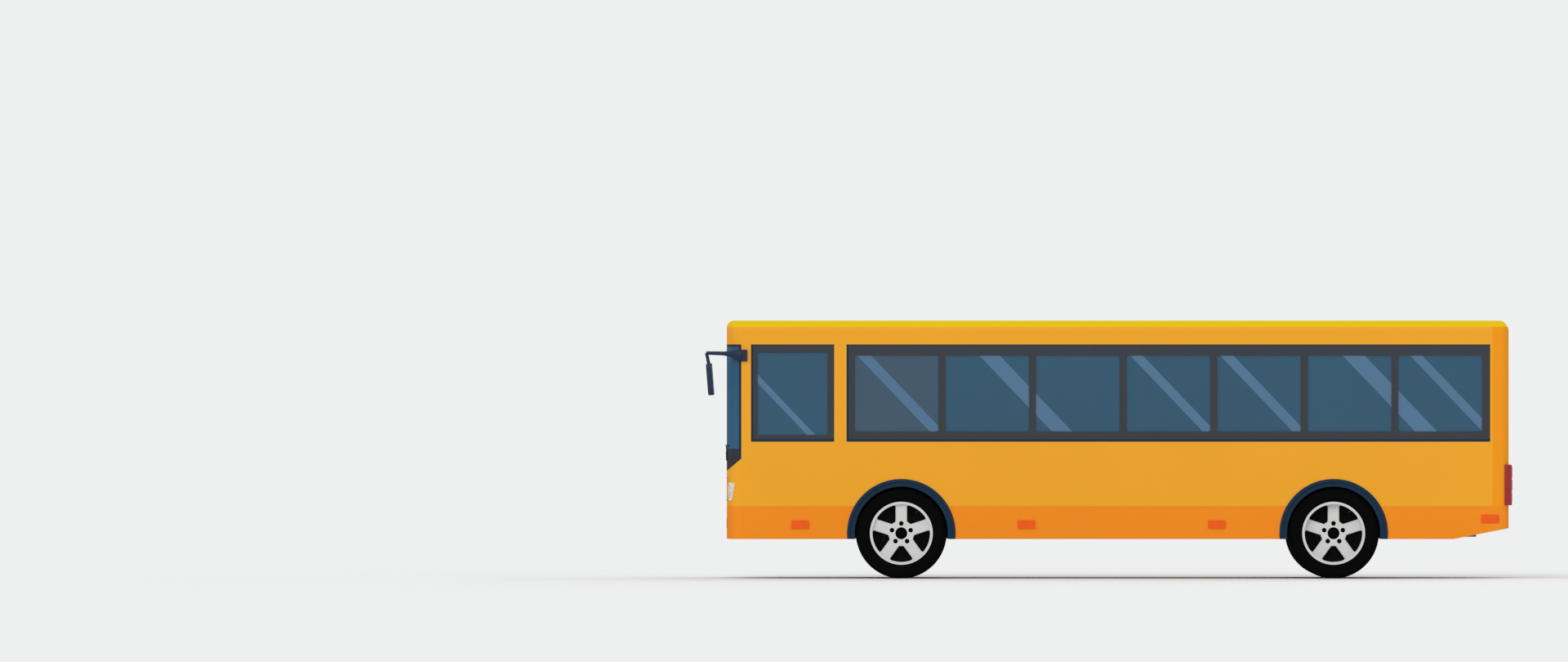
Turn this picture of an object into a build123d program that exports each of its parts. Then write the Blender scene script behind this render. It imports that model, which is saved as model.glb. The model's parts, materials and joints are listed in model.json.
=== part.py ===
"""Nine metre single-deck city bus on a ladder frame, with its engine at the rear and two passenger doors.

Frame: the bus faces -X, its left side is -Y, +Z is up. The origin is on the ground, below the middle of
the overall length. Lengths are millimetres, and a distance named "from the front" is measured rearwards
from the front face of the body.
"""
from build123d import *
import math
import os

os.makedirs("parts", exist_ok=True)

# Body envelope
BODY_LENGTH = 9100
BODY_WIDTH = 2430
BODY_TOP = 3000
BODY_BOTTOM = 460
WALL = 50
ROOF_THICKNESS = 60
ROOF_CROWN = 40
ROOF_EDGE_RADIUS = 85
FRONT_BOW = 60
FRONT_CORNER_RADIUS = 150
REAR_CORNER_RADIUS = 100
MIRROR_REACH = 255
TAIL_LAMP_STANDS_OUT = 38
HALF = BODY_WIDTH / 2
INNER_Y = HALF - WALL

# Heights of the seams that run round the body
SKIRT_TOP = 845
ROOF_DROP = 72
ROOF_SEAM = BODY_TOP - ROOF_DROP
FLOOR_TOP = 900
FLOOR_THICKNESS = 60

# Lengths from the front of the seams and the axles
FRONT_SEAM = 200
TAIL_LENGTH = 190
REAR_SEAM = BODY_LENGTH - TAIL_LENGTH
FRONT_AXLE = 2033
REAR_OVERHANG = 2037
REAR_AXLE = BODY_LENGTH - REAR_OVERHANG
TAIL_RISE_LENGTH = 640
TAIL_RISE = 126

# Windows
WINDOW_BAND_BOTTOM = 1591
CANT_RAIL = 205
WINDOW_BAND_TOP = ROOF_SEAM - CANT_RAIL
LOWER_BORDER = 119
UPPER_BORDER = 129
PANE_BOTTOM = WINDOW_BAND_BOTTOM + LOWER_BORDER
PANE_TOP = WINDOW_BAND_TOP - UPPER_BORDER
PANE_WIDTH = 975
MULLION = 79
PITCH = PANE_WIDTH + MULLION
BAND_BORDER = 95
BAND_START = 1395
REAR_PILLAR = 200
PANE_COUNT = int((BODY_LENGTH - REAR_PILLAR - BAND_START - 2 * BAND_BORDER + MULLION) // PITCH)
CAB_WINDOW_START = 284
CAB_WINDOW_END = 1252
CAB_BORDER = 76
CAB_PANE_TOP = WINDOW_BAND_TOP - 95
CAB_PANE_BOTTOM = WINDOW_BAND_BOTTOM + 79
GLASS = 6
GLASS_REBATE = 12
GLASS_SET_BACK = 12
PANE_CORNER_RADIUS = 20

# Windscreen and the black mask round it
MASK_DEPTH = 171
MASK_BEND = 1394
MASK_BOTTOM = 1241
MASK_BEND_RADIUS = 60
SCREEN_BOTTOM = 1508
SCREEN_BORDER = 28
SCREEN_GLASS = 8

# Wheels and tyres
TYRE_RADIUS = 527
TYRE_WIDTH = 280
TYRE_BEAD_RADIUS = 356
TYRE_WIDEST_RADIUS = 446
TYRE_SHOULDER = 30
RIM_RADIUS = 366
TYRE_INSET = 30
TWIN_PITCH = 320
ARCH_RADIUS = 631
HOUSING_RADIUS = 615
HOUSING_SHEET = 8
HOUSING_GAP = 40
HOUSING_WALL_BOTTOM = 720
HUB_RADIUS = 150
SPOKES = 5

# Chassis
RAIL_OUTER_Y = 400
RAIL_FLANGE = 70
RAIL_BOTTOM = 690
RAIL_TOP = 820
RAIL_WEB = 8
KINGPIN_INSET = 150
KINGPIN_RADIUS = 22
STEER_ARM = 200

# Doors: opening start from the front and clear width. The middle one follows the second pane.
DOOR_PILLAR = 86
PANES_BEFORE_DOOR = 2
FRONT_DOOR = (300, 1000)
MIDDLE_DOOR = (BAND_START + 2 * BAND_BORDER + PANES_BEFORE_DOOR * PITCH - MULLION + DOOR_PILLAR, 1150)
DOOR_SILL = 470
LINTEL = 368
DOOR_HEAD = ROOF_SEAM - LINTEL
LEAF_THICKNESS = 36
LEAF_RECESS = 4
LEAF_MARGIN = 25
LEAF_PIVOT_INSET = 36
LEAF_MEETING_GAP = 8
LEAF_BOTTOM_GAP = 22
LEAF_TOP_GAP = 22
LEAF_BORDER = 62
ARM_THICKNESS = 8
STEP_SHEET = 12
STEP_COUNT = 2
LOWER_TREAD = 570
STEP_INNER_Y = HALF - LOWER_TREAD
STEP_TOP_Y = RAIL_OUTER_Y + STEP_SHEET

# Places worked out from the above
FRONT = -(BODY_LENGTH + TAIL_LAMP_STANDS_OUT - MIRROR_REACH) / 2
REAR = FRONT + BODY_LENGTH
AXLES = {"front": FRONT + FRONT_AXLE, "rear": FRONT + REAR_AXLE}
TYRE_Y = HALF - TYRE_INSET - TYRE_WIDTH / 2
KINGPIN_Y = TYRE_Y - KINGPIN_INSET
HOUSING_INNER_Y = TYRE_Y - TWIN_PITCH - TYRE_WIDTH / 2 - HOUSING_GAP
FLOOR_BOTTOM = FLOOR_TOP - FLOOR_THICKNESS
SIDES = {"left": -1, "right": 1}


def block(x0, x1, y0, y1, z0, z1):
    """A box between two corners, which may be given in either order."""
    centre = ((x0 + x1) / 2, (y0 + y1) / 2, (z0 + z1) / 2)
    return Pos(*centre) * Box(abs(x1 - x0), abs(y1 - y0), abs(z1 - z0))


def at(from_front):
    """The x of a place given as a distance rearwards from the front face."""
    return FRONT + from_front


def rod(start, end, radius):
    """A round bar between two points."""
    a, b = Vector(*start), Vector(*end)
    plane = Plane(origin=a, z_dir=b - a)
    return extrude(plane * Circle(radius), (b - a).length)


def drum(x, z, y0, y1, radius):
    """A cylinder about an axis along Y."""
    return rod((x, min(y0, y1), z), (x, max(y0, y1), z), radius)


def mirrored(shape):
    """The same shape on the other side of the bus."""
    return mirror(shape, about=Plane.XZ)


def save(name, *solids):
    """One file for each node. Several solids in it are alike and don't touch."""
    found = [s for shape in solids for s in shape.solids()]
    export_step(found[0] if len(found) == 1 else Compound(children=found), f"parts/{name}.step")


def plan_outline(inset=0.0):
    """The body seen from above: bowed front, square rear, all four corners rounded."""
    half = HALF - inset
    nose, tail = FRONT + inset, REAR - inset
    shoulder = nose + FRONT_BOW
    with BuildSketch() as plan:
        with BuildLine():
            ThreePointArc((shoulder, half), (nose, 0), (shoulder, -half))
            Polyline((shoulder, -half), (tail, -half), (tail, half), (shoulder, half))
        make_face()
        fillet(plan.vertices().sort_by(Axis.X)[-2:], REAR_CORNER_RADIUS - inset)
        fillet(plan.vertices().sort_by(Axis.X)[:2], FRONT_CORNER_RADIUS - inset)
    return plan.sketch


def crowned_prism(top, bottom):
    """A long prism whose top has the roof's crown, wide enough to leave the sides alone."""
    half = HALF + 1
    with BuildSketch(Plane.YZ) as section:
        with BuildLine():
            ThreePointArc((-half, top - ROOF_CROWN), (0, top), (half, top - ROOF_CROWN))
            Polyline((half, top - ROOF_CROWN), (half, bottom), (-half, bottom), (-half, top - ROOF_CROWN))
        make_face()
    return Pos(FRONT - WALL, 0, 0) * extrude(section.sketch, BODY_LENGTH + 2 * WALL)


def body_volume(inset=0.0, roof_inset=0.0, edge_radius=0.0):
    """The closed volume inside the body's skin, taken in by an inset, with its roof edge rounded."""
    tall = Pos(0, 0, BODY_BOTTOM) * extrude(plan_outline(inset), BODY_TOP)
    solid = tall & crowned_prism(BODY_TOP - roof_inset, BODY_BOTTOM)
    if edge_radius:
        middle = BODY_TOP - roof_inset - ROOF_CROWN - 5
        edges = [e for e in solid.edges() if e.center().Z > middle]
        solid = fillet(edges, edge_radius)
    return solid


def tail_wedge():
    """What the rising underside takes off the tail."""
    z = BODY_BOTTOM
    outline = Polyline((REAR - TAIL_RISE_LENGTH, z - 1), (REAR + 1, z - 1), (REAR + 1, z + TAIL_RISE),
                       (REAR - TAIL_RISE_LENGTH, z), close=True)
    face = make_face(Plane.XZ * outline)
    return extrude(face, BODY_WIDTH, both=True)


OUTER = body_volume(edge_radius=ROOF_EDGE_RADIUS) - tail_wedge()
INNER = Pos(0, 0, -5) * body_volume(WALL, ROOF_THICKNESS - 5)
SHELL = OUTER - INNER
WALL_RING = SHELL - Pos(0, 0, BODY_BOTTOM - 10) * extrude(plan_outline(WALL), BODY_TOP)
FAR = BODY_WIDTH


def zone(x0, x1, z0, z1, y0=-FAR, y1=FAR):
    """A part of the body between two lengths from the front and two heights."""
    return block(at(x0), at(x1), y0, y1, z0, z1)


# Windscreen, its black mask and the front of the body

def mask_profile(inset_back, inset_top, bottom):
    """The windscreen's reach seen from the side: straight behind, sloping forward below."""
    back, top = at(MASK_DEPTH - inset_back), WINDOW_BAND_TOP - inset_top
    front = FRONT - 10
    outline = Polyline((front, top), (back, top), (back, MASK_BEND), (front, MASK_BOTTOM), close=True)
    with BuildSketch(Plane.XZ) as profile:
        add(make_face(outline))
        bend = [v for v in profile.vertices() if abs(v.X - back) < 1 and abs(v.Z - MASK_BEND) < 1]
        fillet(bend, MASK_BEND_RADIUS)
    reach = extrude(profile.sketch, FAR, both=True)
    return reach & block(front - 1, back + 1, -FAR, FAR, bottom, top + 1)


MASK = mask_profile(0, 0, MASK_BOTTOM - 1)
SCREEN = mask_profile(SCREEN_BORDER, SCREEN_BORDER, SCREEN_BOTTOM)

# Headlamps: heights and lengths on the side, then how far they reach in across the front
HEADLAMP_TOP = 1113
HEADLAMP_BOTTOM = 910
HEADLAMP_TOP_DEPTH = 95
HEADLAMP_BOTTOM_DEPTH = 57
HEADLAMP_REACH = 455
HEADLAMP_INNER_Y = HALF - HEADLAMP_REACH


def headlamp_reach():
    """The slanting outline of a headlamp seen from the side, through the left and right corners."""
    outline = Polyline((FRONT - 10, HEADLAMP_BOTTOM), (at(HEADLAMP_BOTTOM_DEPTH), HEADLAMP_BOTTOM),
                       (at(HEADLAMP_TOP_DEPTH), HEADLAMP_TOP), (FRONT - 10, HEADLAMP_TOP), close=True)
    whole = extrude(make_face(Plane.XZ * outline), FAR, both=True)
    return whole - block(FRONT - 20, REAR, -HEADLAMP_INNER_Y, HEADLAMP_INNER_Y, 0, BODY_TOP)


def front_pieces():
    lamp_reach = headlamp_reach()
    front_wall = WALL_RING & zone(-10, FRONT_SEAM, SKIRT_TOP, ROOF_SEAM)
    save("front_panel", front_wall - MASK - lamp_reach)
    front_bumper = WALL_RING & zone(-10, FRONT_SEAM, BODY_BOTTOM - 1, SKIRT_TOP)
    rear_bumper = WALL_RING & zone(REAR_SEAM, BODY_LENGTH + 1, BODY_BOTTOM - 1, SKIRT_TOP)
    save("bumpers", front_bumper, rear_bumper)
    save("headlamps", WALL_RING & lamp_reach)
    save("windscreen_surround", (WALL_RING & MASK) - SCREEN)
    pane = OUTER - Pos(0, 0, -1) * body_volume(SCREEN_GLASS, 0) - block(at(FRONT_SEAM), REAR, -FAR, FAR, 0, 9999)
    save("windscreen", pane & SCREEN)


# Rear window, engine hatch and tail lamps: what is left beside and above them, and their heights
REAR_WINDOW_SIDE = 335
REAR_WINDOW_BOTTOM = 1660
REAR_WINDOW_HALF = HALF - REAR_WINDOW_SIDE
REAR_WINDOW = (-REAR_WINDOW_HALF, REAR_WINDOW_HALF, REAR_WINDOW_BOTTOM, ROOF_SEAM - LINTEL)
REAR_WINDOW_BORDER = 45
HATCH_SIDE = 435
HATCH_HALF = HALF - HATCH_SIDE
HATCH = (-HATCH_HALF, HATCH_HALF, 880, 1480)
HATCH_GAP = 6
HATCH_THICKNESS = 30
HATCH_CORNER = 40
TAIL_LAMP_TOP = 1327
TAIL_LAMP_BOTTOM = 853
TAIL_LAMP_WRAP = 48
TAIL_LAMP_WIDTH = 175
TAIL_LAMP_INNER_Y = HALF - TAIL_LAMP_WIDTH
TAIL_LAMP_EDGE = 14


def rounded_yz(y0, y1, z0, z1, radius, x0, x1):
    """A block with rounded corners that runs along X."""
    face = Pos((y0 + y1) / 2, (z0 + z1) / 2) * RectangleRounded(y1 - y0, z1 - z0, radius)
    return Pos(x0, 0, 0) * extrude(Plane.YZ * face, x1 - x0)


def rounded_xz(x0, x1, z0, z1, radius, y0, y1):
    """A block with rounded corners that runs along Y."""
    face = Pos((x0 + x1) / 2, (z0 + z1) / 2) * RectangleRounded(x1 - x0, z1 - z0, radius)
    return Pos(0, max(y0, y1), 0) * extrude(Plane.XZ * face, abs(y1 - y0))


def rear_window():
    """The frame and the pane of the rear window."""
    y0, y1, z0, z1 = REAR_WINDOW
    edge, e = REAR_WINDOW_BORDER, GLASS_REBATE
    frame = rounded_yz(y0, y1, z0, z1, HATCH_CORNER, REAR - WALL, REAR)
    inner = (y0 + edge, y1 - edge, z0 + edge, z1 - edge)
    rebate = (inner[0] - e, inner[1] + e, inner[2] - e, inner[3] + e)
    frame -= rounded_yz(*inner, HATCH_CORNER, REAR - 2 * WALL, REAR + 10)
    frame -= rounded_yz(*rebate, HATCH_CORNER, REAR - 2 * WALL, REAR - GLASS_SET_BACK)
    return frame, rounded_yz(*rebate, HATCH_CORNER, REAR - GLASS_SET_BACK - GLASS, REAR - GLASS_SET_BACK)


def rear_pieces():
    y0, y1, z0, z1 = REAR_WINDOW
    opening = rounded_yz(y0, y1, z0, z1, HATCH_CORNER, REAR - 2 * WALL, REAR + 10)
    hatch_hole = rounded_yz(*HATCH, HATCH_CORNER, REAR - 2 * WALL, REAR + 10)
    lamp_cut = tail_lamp_solid()
    panel = WALL_RING & zone(REAR_SEAM, BODY_LENGTH + 1, SKIRT_TOP, ROOF_SEAM)
    save("rear_panel", panel - opening - hatch_hole)
    save("tail_lamps", lamp_cut, mirrored(lamp_cut))
    g = HATCH_GAP
    lid = rounded_yz(HATCH[0] + g, HATCH[1] - g, HATCH[2] + g, HATCH[3] - g, HATCH_CORNER - g,
                     REAR - HATCH_THICKNESS, REAR)
    save("engine_hatch", lid)


def tail_lamp_solid():
    """The right-hand lamp, which wraps the rear corner and stands out behind it."""
    lamp = block(REAR - TAIL_LAMP_WRAP, REAR + TAIL_LAMP_STANDS_OUT, TAIL_LAMP_INNER_Y, HALF - 1,
                 TAIL_LAMP_BOTTOM, TAIL_LAMP_TOP)
    back = REAR + TAIL_LAMP_STANDS_OUT - 1
    corner = [e for e in lamp.edges() if e.center().X > back and e.center().Y > HALF - 2]
    lamp = fillet(corner, TAIL_LAMP_STANDS_OUT)
    rest = [e for e in lamp.edges() if e.center().X > back]
    lamp = fillet(rest[:3], TAIL_LAMP_EDGE)
    return lamp - OUTER


# Side windows: each band is its start, its pane widths and its borders, as lengths from the front

def band(start, widths, border=BAND_BORDER, bottom=PANE_BOTTOM, top=PANE_TOP):
    """A run of panes in one frame: (outer start, outer end, list of pane starts and ends, heights)."""
    panes, x = [], start + border
    for width in widths:
        panes.append((x, x + width))
        x += width + MULLION
    return start, x - MULLION + border, panes, bottom, top


def pane_start(index):
    return BAND_START + BAND_BORDER + index * PITCH


SECOND_BAND_START = MIDDLE_DOOR[0] + MIDDLE_DOOR[1] + DOOR_PILLAR
NARROW_WIDTH = pane_start(PANES_BEFORE_DOOR + 2) - MULLION - SECOND_BAND_START - BAND_BORDER
CAB_BAND = band(CAB_WINDOW_START, [CAB_WINDOW_END - CAB_WINDOW_START - 2 * CAB_BORDER], CAB_BORDER,
                CAB_PANE_BOTTOM, CAB_PANE_TOP)
BANDS = {
    "left": [CAB_BAND, band(BAND_START, [PANE_WIDTH] * PANE_COUNT)],
    "right": [band(BAND_START, [PANE_WIDTH] * PANES_BEFORE_DOOR),
              band(SECOND_BAND_START, [NARROW_WIDTH] + [PANE_WIDTH] * (PANE_COUNT - PANES_BEFORE_DOOR - 2))],
}
FRAME_RECESS = 2


def window_band(which):
    """The frame and the panes of one band on the right side."""
    start, end, panes, bottom, top = which
    y0, y1 = INNER_Y, HALF - FRAME_RECESS
    glass_y = HALF - GLASS_SET_BACK
    frame = block(at(start), at(end), y0, y1, WINDOW_BAND_BOTTOM, WINDOW_BAND_TOP)
    glass = []
    r, e = PANE_CORNER_RADIUS, GLASS_REBATE
    for a, b in panes:
        frame -= rounded_xz(at(a), at(b), bottom, top, r, y0 - 1, y1 + 1)
        frame -= rounded_xz(at(a - e), at(b + e), bottom - e, top + e, r, y0 - 1, glass_y)
        glass.append(rounded_xz(at(a - e), at(b + e), bottom - e, top + e, r, glass_y - GLASS, glass_y))
    return frame, glass


def doorway(door):
    """What a door opening takes off the side."""
    start, width = door
    return zone(start, start + width, BODY_BOTTOM - 10, DOOR_HEAD, INNER_Y - 1, FAR)


def arch_hole(x, radius=ARCH_RADIUS):
    return drum(x, TYRE_RADIUS, -FAR, FAR, radius)


def side_pieces():
    rear_frame, rear_pane = rear_window()
    frames, panes = [rear_frame], [rear_pane]
    skirts, walls = [], []
    for side in SIDES:
        wall = WALL_RING & zone(FRONT_SEAM, REAR_SEAM, SKIRT_TOP, ROOF_SEAM, 0, FAR)
        skirt = WALL_RING & zone(FRONT_SEAM, REAR_SEAM, BODY_BOTTOM - 1, SKIRT_TOP, 0, FAR)
        for axle in AXLES.values():
            wall -= arch_hole(axle)
            skirt -= arch_hole(axle)
        for which in BANDS[side]:
            wall -= block(at(which[0]), at(which[1]), 0, FAR, WINDOW_BAND_BOTTOM, WINDOW_BAND_TOP)
            frame, glass = window_band(which)
            flip = mirrored if side == "left" else (lambda s: s)
            frames.append(flip(frame))
            panes += [flip(g) for g in glass]
        if side == "right":
            for door in (FRONT_DOOR, MIDDLE_DOOR):
                wall -= doorway(door)
                skirt -= doorway(door)
                for bore in pivot_bores(door):
                    wall -= bore
            walls.append(wall)
            skirts.append(skirt)
        else:
            walls.append(mirrored(wall))
            skirts.append(mirrored(skirt))
    save("side_panels", *walls)
    save("skirt_panels", *skirts)
    save("window_frames", *frames)
    save("window_glass", *panes)


# Side marker lamps, as lengths from the front and heights, on each side
MARKER_Z = 629
MARKERS = ((FRONT_AXLE - 1176, MARKER_Z), (FRONT_AXLE + 1456, MARKER_Z), (REAR_AXLE - 1360, MARKER_Z),
           (BODY_LENGTH - 218, MARKER_Z + 65))
MARKER_LENGTH = 206
MARKER_HEIGHT = 100
MARKER_STANDS_OUT = 9
MARKER_ROUND = 12
ARCH_TRIM = 35
ARCH_TRIM_STANDS_OUT = 8


def side_trim():
    lamps, trims, housings = [], [], []
    for from_front, z in MARKERS:
        lamp = rounded_xz(at(from_front) - MARKER_LENGTH / 2, at(from_front) + MARKER_LENGTH / 2,
                          z - MARKER_HEIGHT / 2, z + MARKER_HEIGHT / 2, MARKER_ROUND,
                          HALF - 40, HALF + MARKER_STANDS_OUT) - OUTER
        for door_start, width in (FRONT_DOOR, MIDDLE_DOOR):
            inside = door_start < from_front < door_start + width
            if inside:
                break
        lamps.append(mirrored(lamp))
        if not inside:
            lamps.append(lamp)
    for axle in AXLES.values():
        lip = drum(axle, TYRE_RADIUS, INNER_Y, HALF + ARCH_TRIM_STANDS_OUT, ARCH_RADIUS)
        lip -= drum(axle, TYRE_RADIUS, 0, FAR, ARCH_RADIUS - ARCH_TRIM)
        lip &= block(axle - FAR, axle + FAR, 0, FAR, BODY_BOTTOM, BODY_TOP)
        sheet = drum(axle, TYRE_RADIUS, HOUSING_INNER_Y - HOUSING_SHEET, INNER_Y, HOUSING_RADIUS + HOUSING_SHEET)
        sheet -= drum(axle, TYRE_RADIUS, HOUSING_INNER_Y, FAR, HOUSING_RADIUS)
        sheet &= block(axle - FAR, axle + FAR, 0, FAR, BODY_BOTTOM, BODY_TOP)
        sheet -= block(axle - FAR, axle + FAR, 0, HOUSING_INNER_Y, 0, HOUSING_WALL_BOTTOM)
        trims += [lip, mirrored(lip)]
        housings += [sheet, mirrored(sheet)]
    save("side_markers", *lamps)
    save("arch_trims", *trims)
    save("wheel_housings", *housings)


def step_well(door):
    """Two steps down to a door, folded from sheet, open to the doorway and upwards."""
    start, width = door
    x0, x1 = at(start), at(start + width)
    t = STEP_SHEET
    low = DOOR_SILL
    rise = (FLOOR_TOP - low) / STEP_COUNT
    middle = low + rise
    edge, foot = HALF - FRAME_RECESS, low - t + 2
    profile = Polyline((edge, low), (STEP_INNER_Y, low), (STEP_INNER_Y, middle), (STEP_TOP_Y, middle),
                       (STEP_TOP_Y, FLOOR_TOP), (STEP_TOP_Y - t, FLOOR_TOP), (STEP_TOP_Y - t, middle - t),
                       (STEP_INNER_Y - t, middle - t), (STEP_INNER_Y - t, foot), (edge, foot), close=True)
    treads = Pos(x0, 0, 0) * extrude(make_face(Plane.YZ * profile), x1 - x0)
    cheek = block(x0 - t, x0, STEP_TOP_Y - t, INNER_Y, foot, FLOOR_TOP)
    cheek -= block(x0 - t - 1, x0 + 1, 0, STEP_INNER_Y - t, 0, middle - t)
    well = treads + cheek + Pos(x1 - x0 + t, 0, 0) * cheek
    for bore in pivot_bores(door):
        well -= bore
    return well


# The floor is laid in boards with a gap between them, which end at these lengths from the front
BOARD_GAP = 3
WELL_GAP = 22
BOARD_ENDS = (FRONT_DOOR[0] - WELL_GAP, sum(FRONT_DOOR) + WELL_GAP, FRONT_AXLE + 667,
              MIDDLE_DOOR[0] - WELL_GAP, sum(MIDDLE_DOOR) + WELL_GAP, REAR_AXLE - 683, REAR_AXLE + 697)

# Engine and gearbox, which the floor and the rear deck go round
ENGINE_X0 = FRONT + BODY_LENGTH - 1140
ENGINE_X1 = FRONT + BODY_LENGTH - 360
ENGINE_HALF_WIDTH = 310
ENGINE_BOTTOM = 480
ENGINE_TOP = 1100
GEARBOX_LENGTH = 320


def floor_pieces():
    """Floor boards, cut round the step wells, the wheel housings and the engine."""
    deck = (Pos(0, 0, FLOOR_BOTTOM) * extrude(plan_outline(WALL), FLOOR_THICKNESS))
    for door in (FRONT_DOOR, MIDDLE_DOOR):
        start, width = door
        deck -= zone(start - STEP_SHEET, start + width + STEP_SHEET, 0, 9999, STEP_TOP_Y - STEP_SHEET, FAR)
    for axle in AXLES.values():
        for y in (-1, 1):
            deck -= drum(axle, TYRE_RADIUS, y * (HOUSING_INNER_Y - HOUSING_SHEET), y * FAR,
                         HOUSING_RADIUS + HOUSING_SHEET)
    deck -= block(ENGINE_X0 - 40, ENGINE_X1 + 40, -ENGINE_HALF_WIDTH - 40, ENGINE_HALF_WIDTH + 40, 0, 9999)
    for end in BOARD_ENDS:
        deck -= zone(end - BOARD_GAP / 2, end + BOARD_GAP / 2, 0, 9999)
    save("floor_boards", deck)
    save("step_wells", step_well(FRONT_DOOR), step_well(MIDDLE_DOOR))


# Roof hatch: length from the front, and its length and width
ROOF_HATCH = (5200, 760, 640)
ROOF_HATCH_GAP = 8
ROOF_HATCH_CORNER = 60


def roof_pieces():
    walls = WALL_RING & zone(-20, BODY_LENGTH + 20, 0, ROOF_SEAM)
    start, length, width = ROOF_HATCH
    centre = (at(start) + length / 2, 0)
    hole = Pos(*centre, 0) * extrude(RectangleRounded(length, width, ROOF_HATCH_CORNER), 9999)
    g = 2 * ROOF_HATCH_GAP
    plug = Pos(*centre, 0) * extrude(RectangleRounded(length - g, width - g, ROOF_HATCH_CORNER - g / 2), 9999)
    roof = SHELL - walls - hole
    save("roof_panel", roof & block(FRONT - 1, REAR + 1, -FAR, FAR, BODY_TOP - 200, 9999))
    save("roof_hatch", SHELL & plug)


# Wheel: distances along its axle, from the middle of the tyre towards the outside
SPOKE_WIDTH = 134
SPOKE_FACE = 92
SPOKE_THICKNESS = 46
REAR_SPOKE_FACE = 40
RING_INNER_RADIUS = 334
BARREL_RADIUS = 338
BEAD_HALF = 116
FLANGE_THICKNESS = 14
LUG_CIRCLE_RADIUS = 114
LUG_RADIUS = 27
LUG_DEPTH = 24
CAP_RADIUS = 67
CAP_DEPTH = 20
DRUM_RADIUS = 235
DRUM_WALL = 16
DRUM_BACK = -118
HUB_BARREL_RADIUS = 95
SPINDLE_RADIUS = 38
SPINDLE_CLEARANCE = 1
WINDOW_ROUND = 18
SPOKE_BEVEL = 7
SPINDLE_END = 40
REAR_SPINDLE_END = -20
INNER_DISC = -215
REAR_DRUM_BACK = -330


def revolved(points):
    """A ring about Z from the (radius, height) points of its section."""
    return revolve(make_face(Plane.XZ * Polyline(*points, close=True)), Axis.Z)


def ring(outer, inner, z0, z1):
    """A ring about Z, or a disc where its inner radius is 0."""
    face = Circle(outer) - Circle(inner) if inner else Circle(outer)
    return Pos(0, 0, z0) * extrude(face, z1 - z0)


def tyre_ring():
    """A tyre about Z: sidewalls that bulge between bead and shoulder, and a flat tread."""
    widest, shoulder = TYRE_WIDTH / 2, TYRE_RADIUS - TYRE_SHOULDER
    upper = [(TYRE_BEAD_RADIUS, BEAD_HALF), (RIM_RADIUS + 2, BEAD_HALF), (TYRE_WIDEST_RADIUS, widest),
             (shoulder, widest - 10), (TYRE_RADIUS, widest - TYRE_SHOULDER)]
    lower = [(r, -z) for r, z in reversed(upper)]
    return revolved(upper + lower)


def rim_ring():
    """The rim about Z: barrel with a flange at each end that holds a bead."""
    out = BEAD_HALF + FLANGE_THICKNESS
    barrel = ring(TYRE_BEAD_RADIUS, BARREL_RADIUS, -out, out)
    for z in (-out, BEAD_HALF):
        barrel += ring(RIM_RADIUS, BARREL_RADIUS, z, z + FLANGE_THICKNESS)
    return barrel


def spoke_plate(face):
    """Five spokes between hub and rim, one of them pointing up, with windows between and bevelled edges."""
    step = 360 / SPOKES
    half = SPOKE_WIDTH / 2
    reach = 2 * RIM_RADIUS
    turn = step / 2
    apex = half / math.sin(math.radians(turn))
    side = reach * math.tan(math.radians(turn))
    wedge = make_face(Polyline((apex, 0), (apex + reach, side), (apex + reach, -side), close=True))
    window = (wedge & Circle(RING_INNER_RADIUS)) - Circle(HUB_RADIUS)
    window = fillet(window.vertices(), WINDOW_ROUND)
    plate = Pos(0, 0, face - SPOKE_THICKNESS) * extrude(Circle(TYRE_BEAD_RADIUS - 4), SPOKE_THICKNESS)
    for k in range(SPOKES):
        cut = Rot(0, 0, 90 + turn + k * step) * window
        plate -= Pos(0, 0, face - SPOKE_THICKNESS - 1) * extrude(cut, SPOKE_THICKNESS + 2)
    edges = [e for e in plate.edges() if e.center().Z > face - 1 and e.center().X ** 2 + e.center().Y ** 2 > 100]
    plate = chamfer(edges, SPOKE_BEVEL)
    for k in range(SPOKES):
        a = math.radians(90 + k * step)
        place = Pos(LUG_CIRCLE_RADIUS * math.cos(a), LUG_CIRCLE_RADIUS * math.sin(a), face - LUG_DEPTH)
        plate -= place * extrude(Circle(LUG_RADIUS), LUG_DEPTH + 1)
    return plate - Pos(0, 0, face - CAP_DEPTH) * extrude(Circle(CAP_RADIUS), CAP_DEPTH + 1)


def front_wheel():
    """Rim, spokes, hub and brake drum in one, about Z, bored for the spindle."""
    back = SPOKE_FACE - SPOKE_THICKNESS
    wheel = rim_ring() + spoke_plate(SPOKE_FACE)
    wheel += ring(HUB_BARREL_RADIUS, 0, DRUM_BACK + 36, back + 1)
    wheel += ring(DRUM_RADIUS, DRUM_RADIUS - DRUM_WALL, DRUM_BACK, back)
    wheel += ring(DRUM_RADIUS, 0, back - DRUM_WALL, back)
    return wheel - ring(SPINDLE_RADIUS + SPINDLE_CLEARANCE, 0, DRUM_BACK - 1, SPINDLE_END + 6)


def rear_wheel():
    """Twin rims on one hub with its drum, about Z from the middle of the outer tyre."""
    back = REAR_SPOKE_FACE - SPOKE_THICKNESS
    inner = -TWIN_PITCH
    wheel = rim_ring() + spoke_plate(REAR_SPOKE_FACE)
    wheel += Pos(0, 0, inner) * rim_ring()
    wheel += ring(BARREL_RADIUS + 5, DRUM_RADIUS - 5, INNER_DISC, INNER_DISC + DRUM_WALL)
    wheel += ring(HUB_BARREL_RADIUS, 0, back - 120, back + 1)
    wheel += ring(DRUM_RADIUS, DRUM_RADIUS - DRUM_WALL, REAR_DRUM_BACK, back)
    wheel += ring(DRUM_RADIUS, 0, back - DRUM_WALL, back)
    return wheel - ring(SPINDLE_RADIUS + SPINDLE_CLEARANCE, 0, REAR_DRUM_BACK, REAR_SPINDLE_END + 6)


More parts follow.
